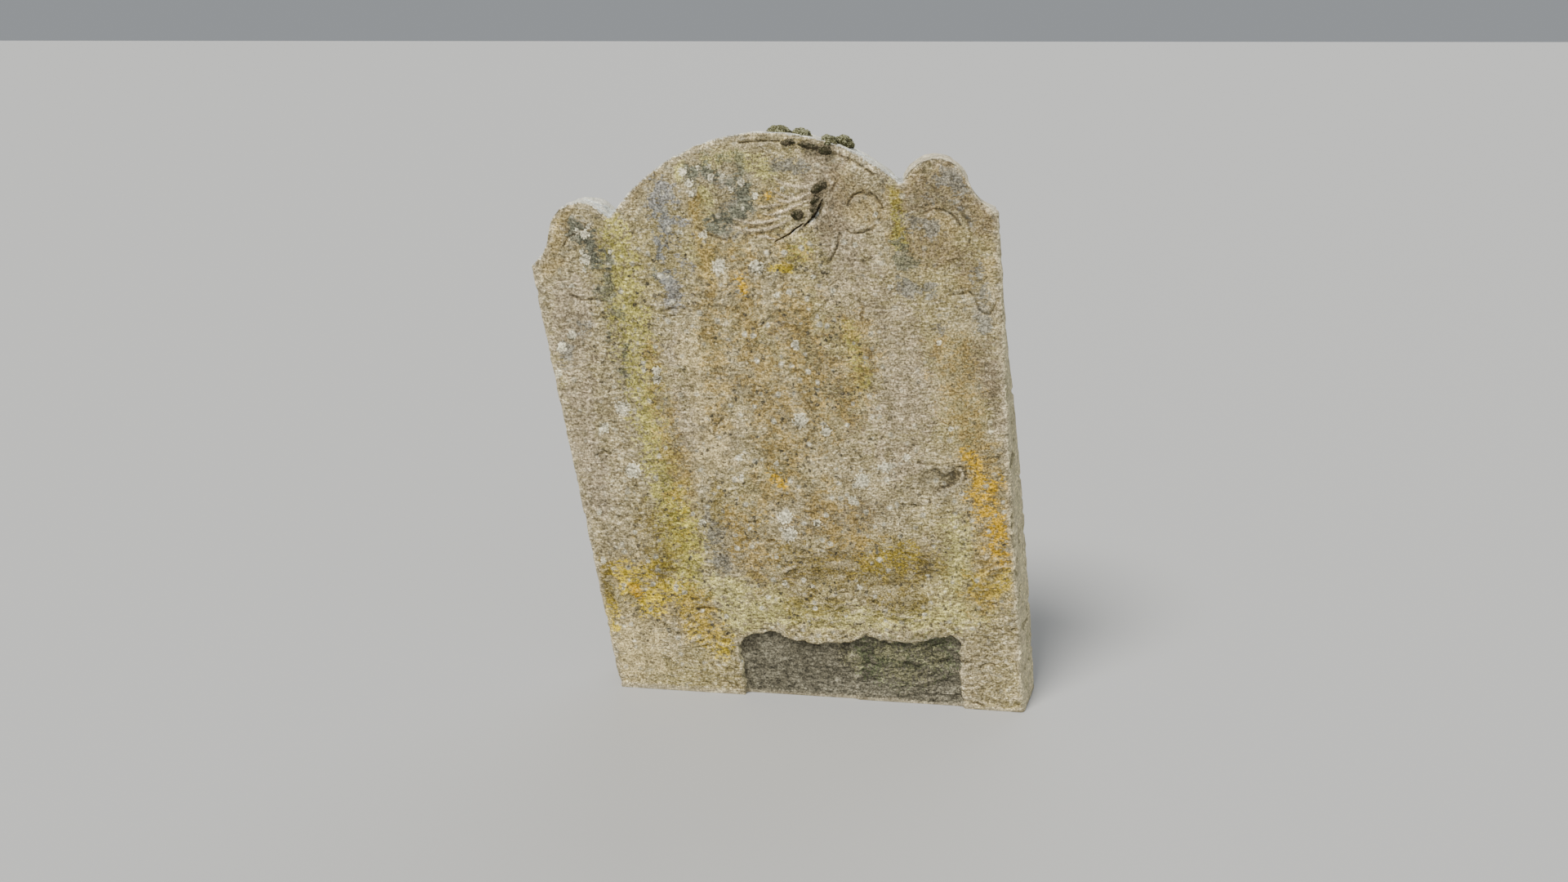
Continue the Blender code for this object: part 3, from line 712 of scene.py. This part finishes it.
# where the right edge of the face is pale
paleStrips = [
    [(1243, 470, 5), (1247, 560, 7), (1250, 640, 8), (1254, 720, 7), (1256, 780, 6)],
]


def paintStone(mesh):
    points = meshPoints(mesh)
    edges = meshEdges(mesh)
    soft = evened(points, edges, 6)
    normals = normalsOf(mesh, soft)
    pixels = photoPixels(points)
    front = ramp(-normals[:, 1], 0.35, 0.8)
    own = normalsOf(mesh, points)
    height = np.sum((points - soft) * own, axis=1)
    addAttribute(mesh, "front", front)
    places = stonePlaces(points)
    stoneUp = np.array([-math.sin(stone["lean"]), 0.0, math.cos(stone["lean"])])
    flatness = ramp(-normalsOf(mesh, evened(points, edges, 2))[:, 1], 0.60, 0.80)
    # faces turned up, off the flat front: pale lichen there, with a painted highlight on the top
    topSide = ramp(own @ stoneUp, 0.30, 0.60) * (1.0 - flatness)
    addAttribute(mesh, "topSide", topSide * (1.0 - 0.82 * ramp(places[:, 0], 0.225, 0.245)))
    for name, chains in stains.items():
        addAttribute(mesh, name, chainMask(pixels, chains) * front)
    spalled = ramp(places[:, 1], 0.0032, 0.0052) * withinSpall(places) * (places[:, 1] < stone["spallDeep"])
    addAttribute(mesh, "spall", evened(spalled, edges, 1))
    # relief: height above or below the smoothed surface, which lays painted shade in the hollows and a
    # painted highlight on the bumps
    reliefHeight = 0.0010
    relief = np.clip(height / reliefHeight, -1.0, 1.0)
    addAttribute(mesh, "relief", relief * (1.0 - 0.6 * spalled * front))
    # painted shade in the split
    addAttribute(mesh, "creviceShade", chainMask(pixels, splits) * (points[:, 1] < stone["frontY"] + 0.03))
    # the fine carved lines get painted shade
    addAttribute(mesh, "fineLines", lineMask(pixels, fineLines, stone["fineWidth"]) * front)
    # a painted highlight along the crests of the folds
    addAttribute(mesh, "crestHighlight", creaseMask(pixels, foldLines, stone["crestWidth"]) * front)
    # a painted highlight on the rim of the head, off the front and the back
    stoneHigh = ramp(places[:, 2], 0.80, 0.90)
    addAttribute(mesh, "rim", stoneHigh * (1.0 - front) * (1.0 - ramp(normals[:, 1], 0.2, 0.6)))
    rightSide = ramp(normals[:, 0], 0.3, 0.7) * (1.0 - ramp(normals[:, 1], 0.2, 0.6))
    addAttribute(mesh, "rightSide", np.maximum(rightSide, chainMask(pixels, paleStrips) * front))
    spots = np.zeros(len(points))
    for radius, centres in whiteSpots.items():
        spots = np.maximum(spots, chainMask(pixels, [[(x, y, radius)] for x, y in centres]))
    addAttribute(mesh, "whiteSpots", spots * front)
    addAttribute(mesh, "dotty", chainMask(pixels, pittedPlaces) * front)


def addNode(tree, kind, settings=None, inputs=None):
    made = tree.nodes.new(kind)
    count = len(tree.nodes)
    made.location = (count % 14 * 190, -(count // 14) * 300)
    for name, value in (settings or {}).items():
        setattr(made, name, value)
    for name, value in (inputs or {}).items():
        socket = made.inputs[name]
        if isinstance(value, bpy.types.NodeSocket):
            tree.links.new(value, socket)
        else:
            socket.default_value = value
    return made


def newMaterial(name):
    material = bpy.data.materials.new(name)
    material.use_nodes = True
    material.node_tree.nodes.clear()
    return material, material.node_tree


def placeVector(tree, scale=(1.0, 1.0, 1.0)):
    # the piece's own coordinates, turned upright with the stone
    coordinates = addNode(tree, "ShaderNodeTexCoord")
    mapping = addNode(tree, "ShaderNodeMapping", None, {
        "Vector": coordinates.outputs["Object"],
        "Rotation": (0.0, stone["lean"], 0.0),
        "Scale": scale,
    })
    return mapping.outputs["Vector"]


def noiseNode(tree, vector, scale, detail=4.0, roughness=0.6, distortion=0.0):
    made = addNode(tree, "ShaderNodeTexNoise", None, {
        "Vector": vector,
        "Scale": scale,
        "Detail": detail,
        "Roughness": roughness,
        "Distortion": distortion,
    })
    return made.outputs[0]


def smoothRange(tree, value, low, high, lowest=0.0, highest=1.0):
    made = addNode(tree, "ShaderNodeMapRange", {"interpolation_type": "SMOOTHSTEP"}, {
        "Value": value,
        "From Min": low,
        "From Max": high,
        "To Min": lowest,
        "To Max": highest,
    })
    return made.outputs["Result"]


def maths(tree, operation, first, second=None, third=None):
    made = addNode(tree, "ShaderNodeMath", {"operation": operation})
    for index, value in enumerate((first, second, third)):
        if value is None:
            continue
        if isinstance(value, bpy.types.NodeSocket):
            tree.links.new(value, made.inputs[index])
        else:
            made.inputs[index].default_value = value
    return made.outputs[0]


def attributeOf(tree, name):
    return addNode(tree, "ShaderNodeAttribute", {"attribute_name": name}).outputs["Fac"]


def mixColours(tree, share, first, second, blend="MIX"):
    made = addNode(tree, "ShaderNodeMix", {"data_type": "RGBA", "blend_type": blend})
    for index, value in ((0, share), (6, first), (7, second)):
        if isinstance(value, bpy.types.NodeSocket):
            tree.links.new(value, made.inputs[index])
        elif index == 0:
            made.inputs[index].default_value = value
        else:
            made.inputs[index].default_value = (*value, 1.0)
    return made.outputs[2]


# What can be changed on the stone's finish: colours are linear
stoneFinish = {
    "buff": (0.670, 0.550, 0.220),
    "pinkGrey": (0.640, 0.525, 0.300),
    "brown": (0.200, 0.140, 0.062),
    "greyGrain": (0.240, 0.225, 0.165),
    "paleGrain": (0.860, 0.760, 0.500),
    # painted shade in the grooves and a painted highlight on the ridges
    "grooveShade": (0.110, 0.085, 0.048),
    "ridgeHighlight": (0.760, 0.650, 0.430),
    # painted highlight on the crests
    "crestHighlight": (0.900, 0.740, 0.470),
    # pale lichen with a painted highlight, on the top
    "topLichenAndHighlight": (0.960, 1.000, 0.930),
    # painted highlight on the head's rim
    "rim": (0.680, 0.610, 0.440),
    "sideBuff": (0.430, 0.365, 0.235),
    "rightSide": (0.920, 0.820, 0.480),
    "backGreen": (0.230, 0.225, 0.125),
    # painted shade in the split
    "creviceShade": (0.070, 0.058, 0.040),
    "lichenDots": (0.860, 0.800, 0.580),
    "darkDots": (0.160, 0.140, 0.095),
    "bedScale": (0.75, 1.0, 1.9),   # flattens the noises that lie with the bedding
    "noiseRange": (0.34, 0.66),
    "pinkShare": (0.15, 0.80),
    "meanTone": 0.9,
    "toneBehind": 0.58,             # how strong the tones are on the sides and back
    "bump": 0.0021,
    "roughness": 0.93,
}
# each noise: whether it lies with the bedding, scale, detail, roughness, distortion
stoneNoises = {
    "broad": (False, 6.0, 3.0, 0.55, 0.0),
    "blotch": (False, 24.0, 5.0, 0.60, 0.4),
    "tearA": (False, 42.0, 7.0, 0.72, 0.3),
    "tearB": (True, 63.0, 6.0, 0.70, 0.2),
    "mid": (True, 130.0, 4.0, 0.68, 0.2),
    "speck": (False, 190.0, 3.0, 0.65, 0.0),
    "fine": (False, 300.0, 3.0, 0.70, 0.0),
    "grain": (False, 850.0, 2.0, 0.60, 0.0),
}
# colour of the grain, its noise, where it starts and is full, strength
stoneGrains = [
    ("brown", "tearA", 0.45, 1.0, 0.55),
    ("greyGrain", "tearB", 0.55, 1.0, 0.45),
    ("paleGrain", "mid", 0.62, 1.0, 0.60),
]
# dots of lichen: colour, scale, the largest, strength
stoneDots = [
    ("lichenDots", 72.0, 0.42, 0.88),
    ("darkDots", 110.0, 0.46, 0.85),
]
# edges, with a painted highlight on the head's rim and the pale top (lichen and a painted highlight):
# attribute, colour, noise, how ragged, its offset, where it starts and is full, strength
stoneEdges = [
    ("rightSide", "rightSide", "tearA", 0.80, -0.40, 0.30, 0.75, 0.75),
    ("rim", "rim", "tearB", 0.60, -0.30, 0.20, 0.60, 0.85),
    ("topSide", "topLichenAndHighlight", "tearB", 0.22, -0.13, 0.16, 0.34, 0.97),
]
# lines of the carving, painted shade in the fine grooves and a painted highlight on the crests: attribute,
# colour, strength
stoneLines = [
    ("fineLines", "grooveShade", 0.55),
    ("crestHighlight", "crestHighlight", 2.4),
]
# attribute, colour, how ragged, where it starts and is full, strength, noise
stoneStains = [
    ("pink", (0.585, 0.470, 0.330), 0.9, 0.35, 0.85, 0.45, "tearA"),
    ("palePink", (0.800, 0.640, 0.310), 1.0, 0.40, 0.85, 0.74, "tearA"),
    ("cream", (0.820, 0.730, 0.250), 2.0, 0.44, 0.90, 0.82, "torn"),
    ("warmBuff", (0.520, 0.385, 0.155), 1.6, 0.38, 0.90, 0.66, "patchy"),
    ("shadeBrown", (0.250, 0.190, 0.110), 2.2, 0.50, 1.05, 0.74, "dotted"),
    ("yellow", (0.800, 0.580, 0.030), 2.2, 0.40, 0.95, 0.90, "torn"),
    ("algae", (0.590, 0.525, 0.110), 1.8, 0.42, 0.92, 0.82, "dotted"),
    ("olive", (0.260, 0.190, 0.035), 2.8, 0.60, 1.08, 0.80, "torn"),
    ("ochre", (0.440, 0.300, 0.082), 3.0, 0.60, 1.08, 0.74, "torn"),
    ("orange", (0.780, 0.460, 0.018), 2.5, 0.48, 1.00, 0.92, "torn"),
    ("dark", (0.240, 0.234, 0.196), 3.2, 0.62, 1.02, 0.78, "patchy"),
    ("darkGreen", (0.150, 0.158, 0.106), 3.2, 0.68, 1.05, 0.80, "patchy"),
    ("coolGrey", (0.370, 0.360, 0.345), 3.0, 0.50, 0.98, 0.55, "patchy"),
    ("hollowFloor", (0.370, 0.310, 0.175), 0.8, 0.40, 0.80, 0.75, "tearA"),
    ("hollowShade", (0.150, 0.120, 0.075), 0.8, 0.45, 0.95, 0.45, "tearA"),
    ("spall", (0.185, 0.172, 0.125), 0.3, 0.35, 0.60, 0.93, "tearA"),
    ("spallRough", (0.095, 0.115, 0.050), 2.2, 0.42, 0.92, 0.82, "dotted"),
    ("spallPale", (0.330, 0.300, 0.165), 2.2, 0.62, 1.05, 0.60, "dotted"),
    ("whiteSpots", (0.960, 0.890, 0.630), 0.5, 0.46, 0.60, 0.92, "fine"),
]
# how much each noise darkens and brightens the stone
stoneTones = [
    ("grain", 0.74, 1.13),
    ("fine", 0.52, 1.48),
    ("speck", 0.76, 1.23),
    ("mid", 0.78, 1.23),
    ("tearB", 0.78, 1.21),
    ("tearA", 0.83, 1.17),
    ("blotch", 0.80, 1.18),
]


def blended(tree, first, second, share):
    # a share of the first noise, and the rest of the second
    return maths(tree, "MULTIPLY_ADD", first, share, maths(tree, "MULTIPLY", second, 1.0 - share))


def tornEdge(tree, value, noise, ragged, offset):
    return maths(tree, "ADD", value, maths(tree, "MULTIPLY_ADD", noise, ragged, offset))


def laidOver(tree, colour, paint, value, start, full, strength):
    # one of the finish's colours, laid on where the value is high enough
    share = smoothRange(tree, value, start, full, 0.0, strength)
    return mixColours(tree, share, colour, stoneFinish[paint])


def sandstoneNoises(tree, plain, bedded):
    low, high = stoneFinish["noiseRange"]
    noises = {}
    for name, (lies, scale, detail, roughness, distortion) in stoneNoises.items():
        raw = noiseNode(tree, bedded if lies else plain, scale, detail, roughness, distortion)
        noises[name] = smoothRange(tree, raw, low, high)
    noises["torn"] = blended(tree, noises["mid"], noises["tearA"], 0.45)
    noises["patchy"] = blended(tree, noises["blotch"], noises["torn"], 0.40)
    noises["dotted"] = blended(tree, noises["speck"], noises["tearA"], 0.60)
    return noises


def paintStains(tree, colour, noises):
    for name, stain, ragged, start, full, strength, noise in stoneStains:
        mask = attributeOf(tree, name)
        cover = tornEdge(tree, mask, noises[noise], ragged, -0.5 * ragged)
        edge = smoothRange(tree, mask, 0.0, 0.2)
        gated = maths(tree, "MULTIPLY", smoothRange(tree, cover, start, full, 0.0, strength), edge)
        colour = mixColours(tree, gated, colour, stain)
    return colour


def paintDots(tree, colour, noises, vector):
    # round lichen, mostly on the pitted parts and none on the broken skin
    dotty = smoothRange(tree, attributeOf(tree, "dotty"), 0.0, 1.0, 0.45, 1.0)
    here = maths(tree, "MULTIPLY", maths(tree, "SUBTRACT", 1.0, attributeOf(tree, "spall")), dotty)
    for name, scale, largest, strength in stoneDots:
        cells = addNode(tree, "ShaderNodeTexVoronoi", None, {
            "Vector": vector,
            "Scale": scale,
            "Randomness": 1.0,
        })
        chance = addNode(tree, "ShaderNodeSeparateColor", None, {"Color": cells.outputs["Color"]})
        size = smoothRange(tree, chance.outputs["Red"], 0.52, 1.0, 0.0, largest)
        reach = tornEdge(tree, cells.outputs["Distance"], noises["fine"], 0.24, -0.12)
        dots = smoothRange(tree, maths(tree, "SUBTRACT", size, reach), 0.0, 0.08, 0.0, strength)
        colour = mixColours(tree, maths(tree, "MULTIPLY", dots, here), colour, stoneFinish[name])
    return colour


def paintSides(tree, colour, noises):
    # the sides and back carry more green; the top is pale with lichen and a painted highlight, and the
    # head's rim has a painted highlight
    behind = maths(tree, "SUBTRACT", 1.0, attributeOf(tree, "front"))
    green = smoothRange(tree, noises["torn"], 0.25, 1.0, 0.0, 0.75)
    sideColour = mixColours(tree, green, stoneFinish["sideBuff"], stoneFinish["backGreen"])
    sideColour = laidOver(tree, sideColour, "paleGrain", noises["mid"], 0.55, 0.95, 0.35)
    colour = mixColours(tree, maths(tree, "MULTIPLY", behind, 0.8), colour, sideColour)
    for name, paint, noise, ragged, offset, start, full, strength in stoneEdges:
        share = tornEdge(tree, attributeOf(tree, name), noises[noise], ragged, offset)
        colour = laidOver(tree, colour, paint, share, start, full, strength)
    return colour


def paintCarving(tree, colour, noises):
    # painted shade in the grooves and pits, a painted highlight on the ridges and crests, and the darkest
    # painted shade in the split
    relief = attributeOf(tree, "relief")
    # painted shade where the surface lies below its surroundings, a painted highlight where it stands above
    colour = laidOver(tree, colour, "grooveShade", relief, -0.15, -1.0, 0.55)
    colour = laidOver(tree, colour, "ridgeHighlight", relief, 0.10, 0.90, 0.42)
    for name, paint, strength in stoneLines:
        share = maths(tree, "MULTIPLY", attributeOf(tree, name), strength)
        colour = mixColours(tree, share, colour, stoneFinish[paint])
    # painted shade in the split, with a torn edge
    split = tornEdge(tree, attributeOf(tree, "creviceShade"), noises["mid"], 0.6, -0.3)
    return laidOver(tree, colour, "creviceShade", split, 0.25, 0.80, 1.0)


def stoneTone(tree, noises):
    # lights and darks of every size, calmer off the front
    tone = 1.0
    for name, least, most in stoneTones:
        tone = maths(tree, "MULTIPLY", tone, smoothRange(tree, noises[name], 0.0, 1.0, least, most))
    mean = stoneFinish["meanTone"]
    evenly = smoothRange(tree, attributeOf(tree, "front"), 0.0, 1.0, stoneFinish["toneBehind"], 1.0)
    return maths(tree, "MULTIPLY_ADD", maths(tree, "SUBTRACT", tone, mean), evenly, mean)


def makeSandstone():
    material, tree = newMaterial("weatheredSandstone")
    vector = placeVector(tree)
    noises = sandstoneNoises(tree, vector, placeVector(tree, stoneFinish["bedScale"]))
    least, most = stoneFinish["pinkShare"]
    pinkShare = smoothRange(tree, noises["broad"], 0.0, 1.0, least, most)
    colour = mixColours(tree, pinkShare, stoneFinish["buff"], stoneFinish["pinkGrey"])
    for paint, noise, start, full, strength in stoneGrains:
        colour = laidOver(tree, colour, paint, noises[noise], start, full, strength)
    colour = paintStains(tree, colour, noises)
    colour = paintDots(tree, colour, noises, vector)
    colour = paintSides(tree, colour, noises)
    colour = paintCarving(tree, colour, noises)
    tone = stoneTone(tree, noises)
    tinted = addNode(tree, "ShaderNodeVectorMath", {"operation": "SCALE"}, {"Scale": tone})
    tree.links.new(colour, tinted.inputs[0])

    height = maths(tree, "MULTIPLY", noises["grain"], 0.12)
    height = maths(tree, "MULTIPLY_ADD", noises["fine"], 0.35, height)
    height = maths(tree, "MULTIPLY_ADD", noises["mid"], 0.6, height)
    bump = addNode(tree, "ShaderNodeBump", None, {
        "Strength": 1.0,
        "Distance": stoneFinish["bump"],
        "Height": height,
    })
    shader = addNode(tree, "ShaderNodeBsdfPrincipled", None, {
        "Base Color": tinted.outputs[0],
        "Roughness": stoneFinish["roughness"],
        "Specular IOR Level": 0.25,
        "Normal": bump.outputs["Normal"],
    })
    output = addNode(tree, "ShaderNodeOutputMaterial")
    tree.links.new(shader.outputs[0], output.inputs["Surface"])
    return material


stoneMesh = refined(remeshed(mergedCopy(stone["node"]), stone["voxel"]), stone["fineBox"])
print("stone remeshed:", len(stoneMesh.polygons), "faces")
plainness = weatherStone(stoneMesh)
stoneMesh = reduced(stoneMesh, stone["triangles"], plainness)
lowCorner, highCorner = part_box(stone["node"])
setPoints(stoneMesh, np.clip(meshPoints(stoneMesh), np.array(lowCorner), np.array(highCorner)))
stoneMesh.shade_smooth()
stoneMesh.set_sharp_from_angle(angle=math.radians(75))
paintStone(stoneMesh)
weatheredStone = addPiece("weatheredStone", stoneMesh, makeSandstone(), stone["node"])
print("stone weathered:", len(stoneMesh.polygons), "triangles")

# What can be changed on the moss: sizes in metres, colours linear
moss = {
    "voxel": 0.0008,
    "rearNode": "crown_moss_4",
    "spread": 1.16,      # wider than the plain cushion
    "crownMove": (0.0, -0.002, -0.006),     # down over the arris
    "rearMove": (-0.006, 0.0, 0.002),
    "lump": 0.0085,
    "lumpHeight": 0.0042,
    "leafSize": 0.0021,
    "leafHeight": 0.0017,
    "bump": 0.0012,
    "borderSpread": (1.12, 1.0, 0.84),
    "deep": (0.035, 0.034, 0.014),
    "body": (0.190, 0.180, 0.085),
    "tip": (0.480, 0.480, 0.290),
    "brownBody": (0.115, 0.092, 0.056),
    "brownTip": (0.270, 0.225, 0.150),
}


def makeMossMaterial():
    material, tree = newMaterial("cushionMoss")
    vector = placeVector(tree)
    clumps = noiseNode(tree, vector, 160.0, 3.0, 0.6)
    leaves = addNode(tree, "ShaderNodeTexVoronoi", None, {"Vector": vector, "Scale": 620.0})
    leaf = leaves.outputs["Distance"]
    brown = attributeOf(tree, "brown")
    body = mixColours(tree, brown, moss["body"], moss["brownBody"])
    tip = mixColours(tree, brown, moss["tip"], moss["brownTip"])
    # dark between the clumps: partly the moss's own dark colour, partly painted shade
    colour = mixColours(tree, smoothRange(tree, clumps, 0.35, 0.65), moss["deep"], body)
    # pale leaf tips, partly the moss's own colour and partly a painted highlight on the bulges and upward
    # faces
    bright = smoothRange(tree, attributeOf(tree, "paleTipsAndHighlight"), 0.35, 0.95, 0.0, 0.8)
    colour = mixColours(tree, bright, colour, tip)
    # painted shade in the gaps between the leaves
    colour = mixColours(tree, smoothRange(tree, leaf, 0.35, 0.75, 0.0, 0.75), colour, moss["deep"])
    bump = addNode(tree, "ShaderNodeBump", {"invert": True}, {
        "Strength": 1.0,
        "Distance": moss["bump"],
        "Height": leaf,
    })
    shader = addNode(tree, "ShaderNodeBsdfPrincipled", None, {
        "Base Color": colour,
        "Roughness": 0.95,
        "Specular IOR Level": 0.2,
        "Normal": bump.outputs["Normal"],
    })
    output = addNode(tree, "ShaderNodeOutputMaterial")
    tree.links.new(shader.outputs[0], output.inputs["Surface"])
    return material


def makeMoss(nodeName, material):
    mesh = remeshed(mergedCopy(nodeName), moss["voxel"])
    points = meshPoints(mesh)
    edges = meshEdges(mesh)
    lowCorner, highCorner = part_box(nodeName)
    soft = evened(points, edges, 10)
    normals = normalsOf(mesh, soft)
    spread = np.array([moss["spread"], 1.0, moss["spread"]])
    if nodeName.startswith("border"):
        spread = np.array(moss["borderSpread"])
    middle = (np.array(lowCorner) + np.array(highCorner)) / 2
    points = middle + (soft - middle) * spread
    if nodeName == moss["rearNode"]:
        points += np.array(moss["rearMove"])
    elif nodeName.startswith("crown"):
        points += np.array(moss["crownMove"])
    lumps = noiseLayers(points, moss["lump"], 2, 21.0)
    leaves = noiseAt(points, moss["leafSize"], 23.0)
    points += normals * (lumps * moss["lumpHeight"] + leaves * moss["leafHeight"])[:, None]
    points = np.clip(points, np.array(cadBox[0]), np.array(cadBox[1]))
    setPoints(mesh, points)
    # pale tips and a painted highlight: higher on the bulges and where the cushion faces up
    addAttribute(mesh, "paleTipsAndHighlight", ramp(leaves * 1.2 + lumps * 0.4 + normals[:, 2] * 0.25, -0.1, 0.5))
    addAttribute(mesh, "brown", np.full(len(points), 0.0 if nodeName.startswith("crown") else 1.0))
    mesh.shade_smooth()
    return addPiece(nodeName + "_cushion", mesh, material, nodeName)


mossMaterial = makeMossMaterial()
mossNodes = sorted(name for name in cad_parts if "moss" in name)
for nodeName in mossNodes:
    makeMoss(nodeName, mossMaterial)
print("moss made:", len(mossNodes), "cushions")

# The studio: floor, sky and lights
studio = {
    "floorSize": 300.0,
    "floorColour": (0.44, 0.44, 0.43),
    "skyColour": (0.90, 0.95, 1.0),
    "skyStrength": 0.34,
    # name: where the light comes from, how wide it is in degrees, strength, colour
    "lights": {
        "keyLight": ((-0.40, -0.46, 1.0), 20.0, 4.4, (1.0, 0.98, 0.94)),
        "fillLight": ((0.8, -0.9, 0.7), 70.0, 0.35, (0.96, 0.98, 1.0)),
        "backLight": ((0.3, 1.0, 0.8), 60.0, 0.9, (0.96, 0.98, 1.0)),
    },
}


def makeFloor():
    work = bmesh.new()
    bmesh.ops.create_grid(work, x_segments=1, y_segments=1, size=studio["floorSize"] / 2)
    bmesh.ops.translate(work, verts=work.verts, vec=(0.0, 0.0, -0.0005))
    mesh = bpy.data.meshes.new("studioFloor")
    work.to_mesh(mesh)
    work.free()
    material, tree = newMaterial("paleFloor")
    shader = addNode(tree, "ShaderNodeBsdfPrincipled", None, {
        "Base Color": (*studio["floorColour"], 1.0),
        "Roughness": 0.9,
    })
    output = addNode(tree, "ShaderNodeOutputMaterial")
    tree.links.new(shader.outputs[0], output.inputs["Surface"])
    mesh.materials.append(material)
    floor = bpy.data.objects.new("studioFloor", mesh)
    bpy.context.scene.collection.objects.link(floor)


def makeLights():
    world = bpy.data.worlds.new("studioSky")
    world.use_nodes = True
    sky = world.node_tree.nodes["Background"]
    sky.inputs["Color"].default_value = (*studio["skyColour"], 1.0)
    sky.inputs["Strength"].default_value = studio["skyStrength"]
    bpy.context.scene.world = world
    for name, (fromWhere, spread, strength, colour) in studio["lights"].items():
        lightData = bpy.data.lights.new(name, "SUN")
        lightData.angle = math.radians(spread)
        lightData.energy = strength
        lightData.color = colour
        light = bpy.data.objects.new(name, lightData)
        light.location = Vector(fromWhere) * 3.0
        light.rotation_euler = Vector(fromWhere).to_track_quat("Z", "Y").to_euler()
        bpy.context.scene.collection.objects.link(light)


makeFloor()
makeLights()
print("studio ready")
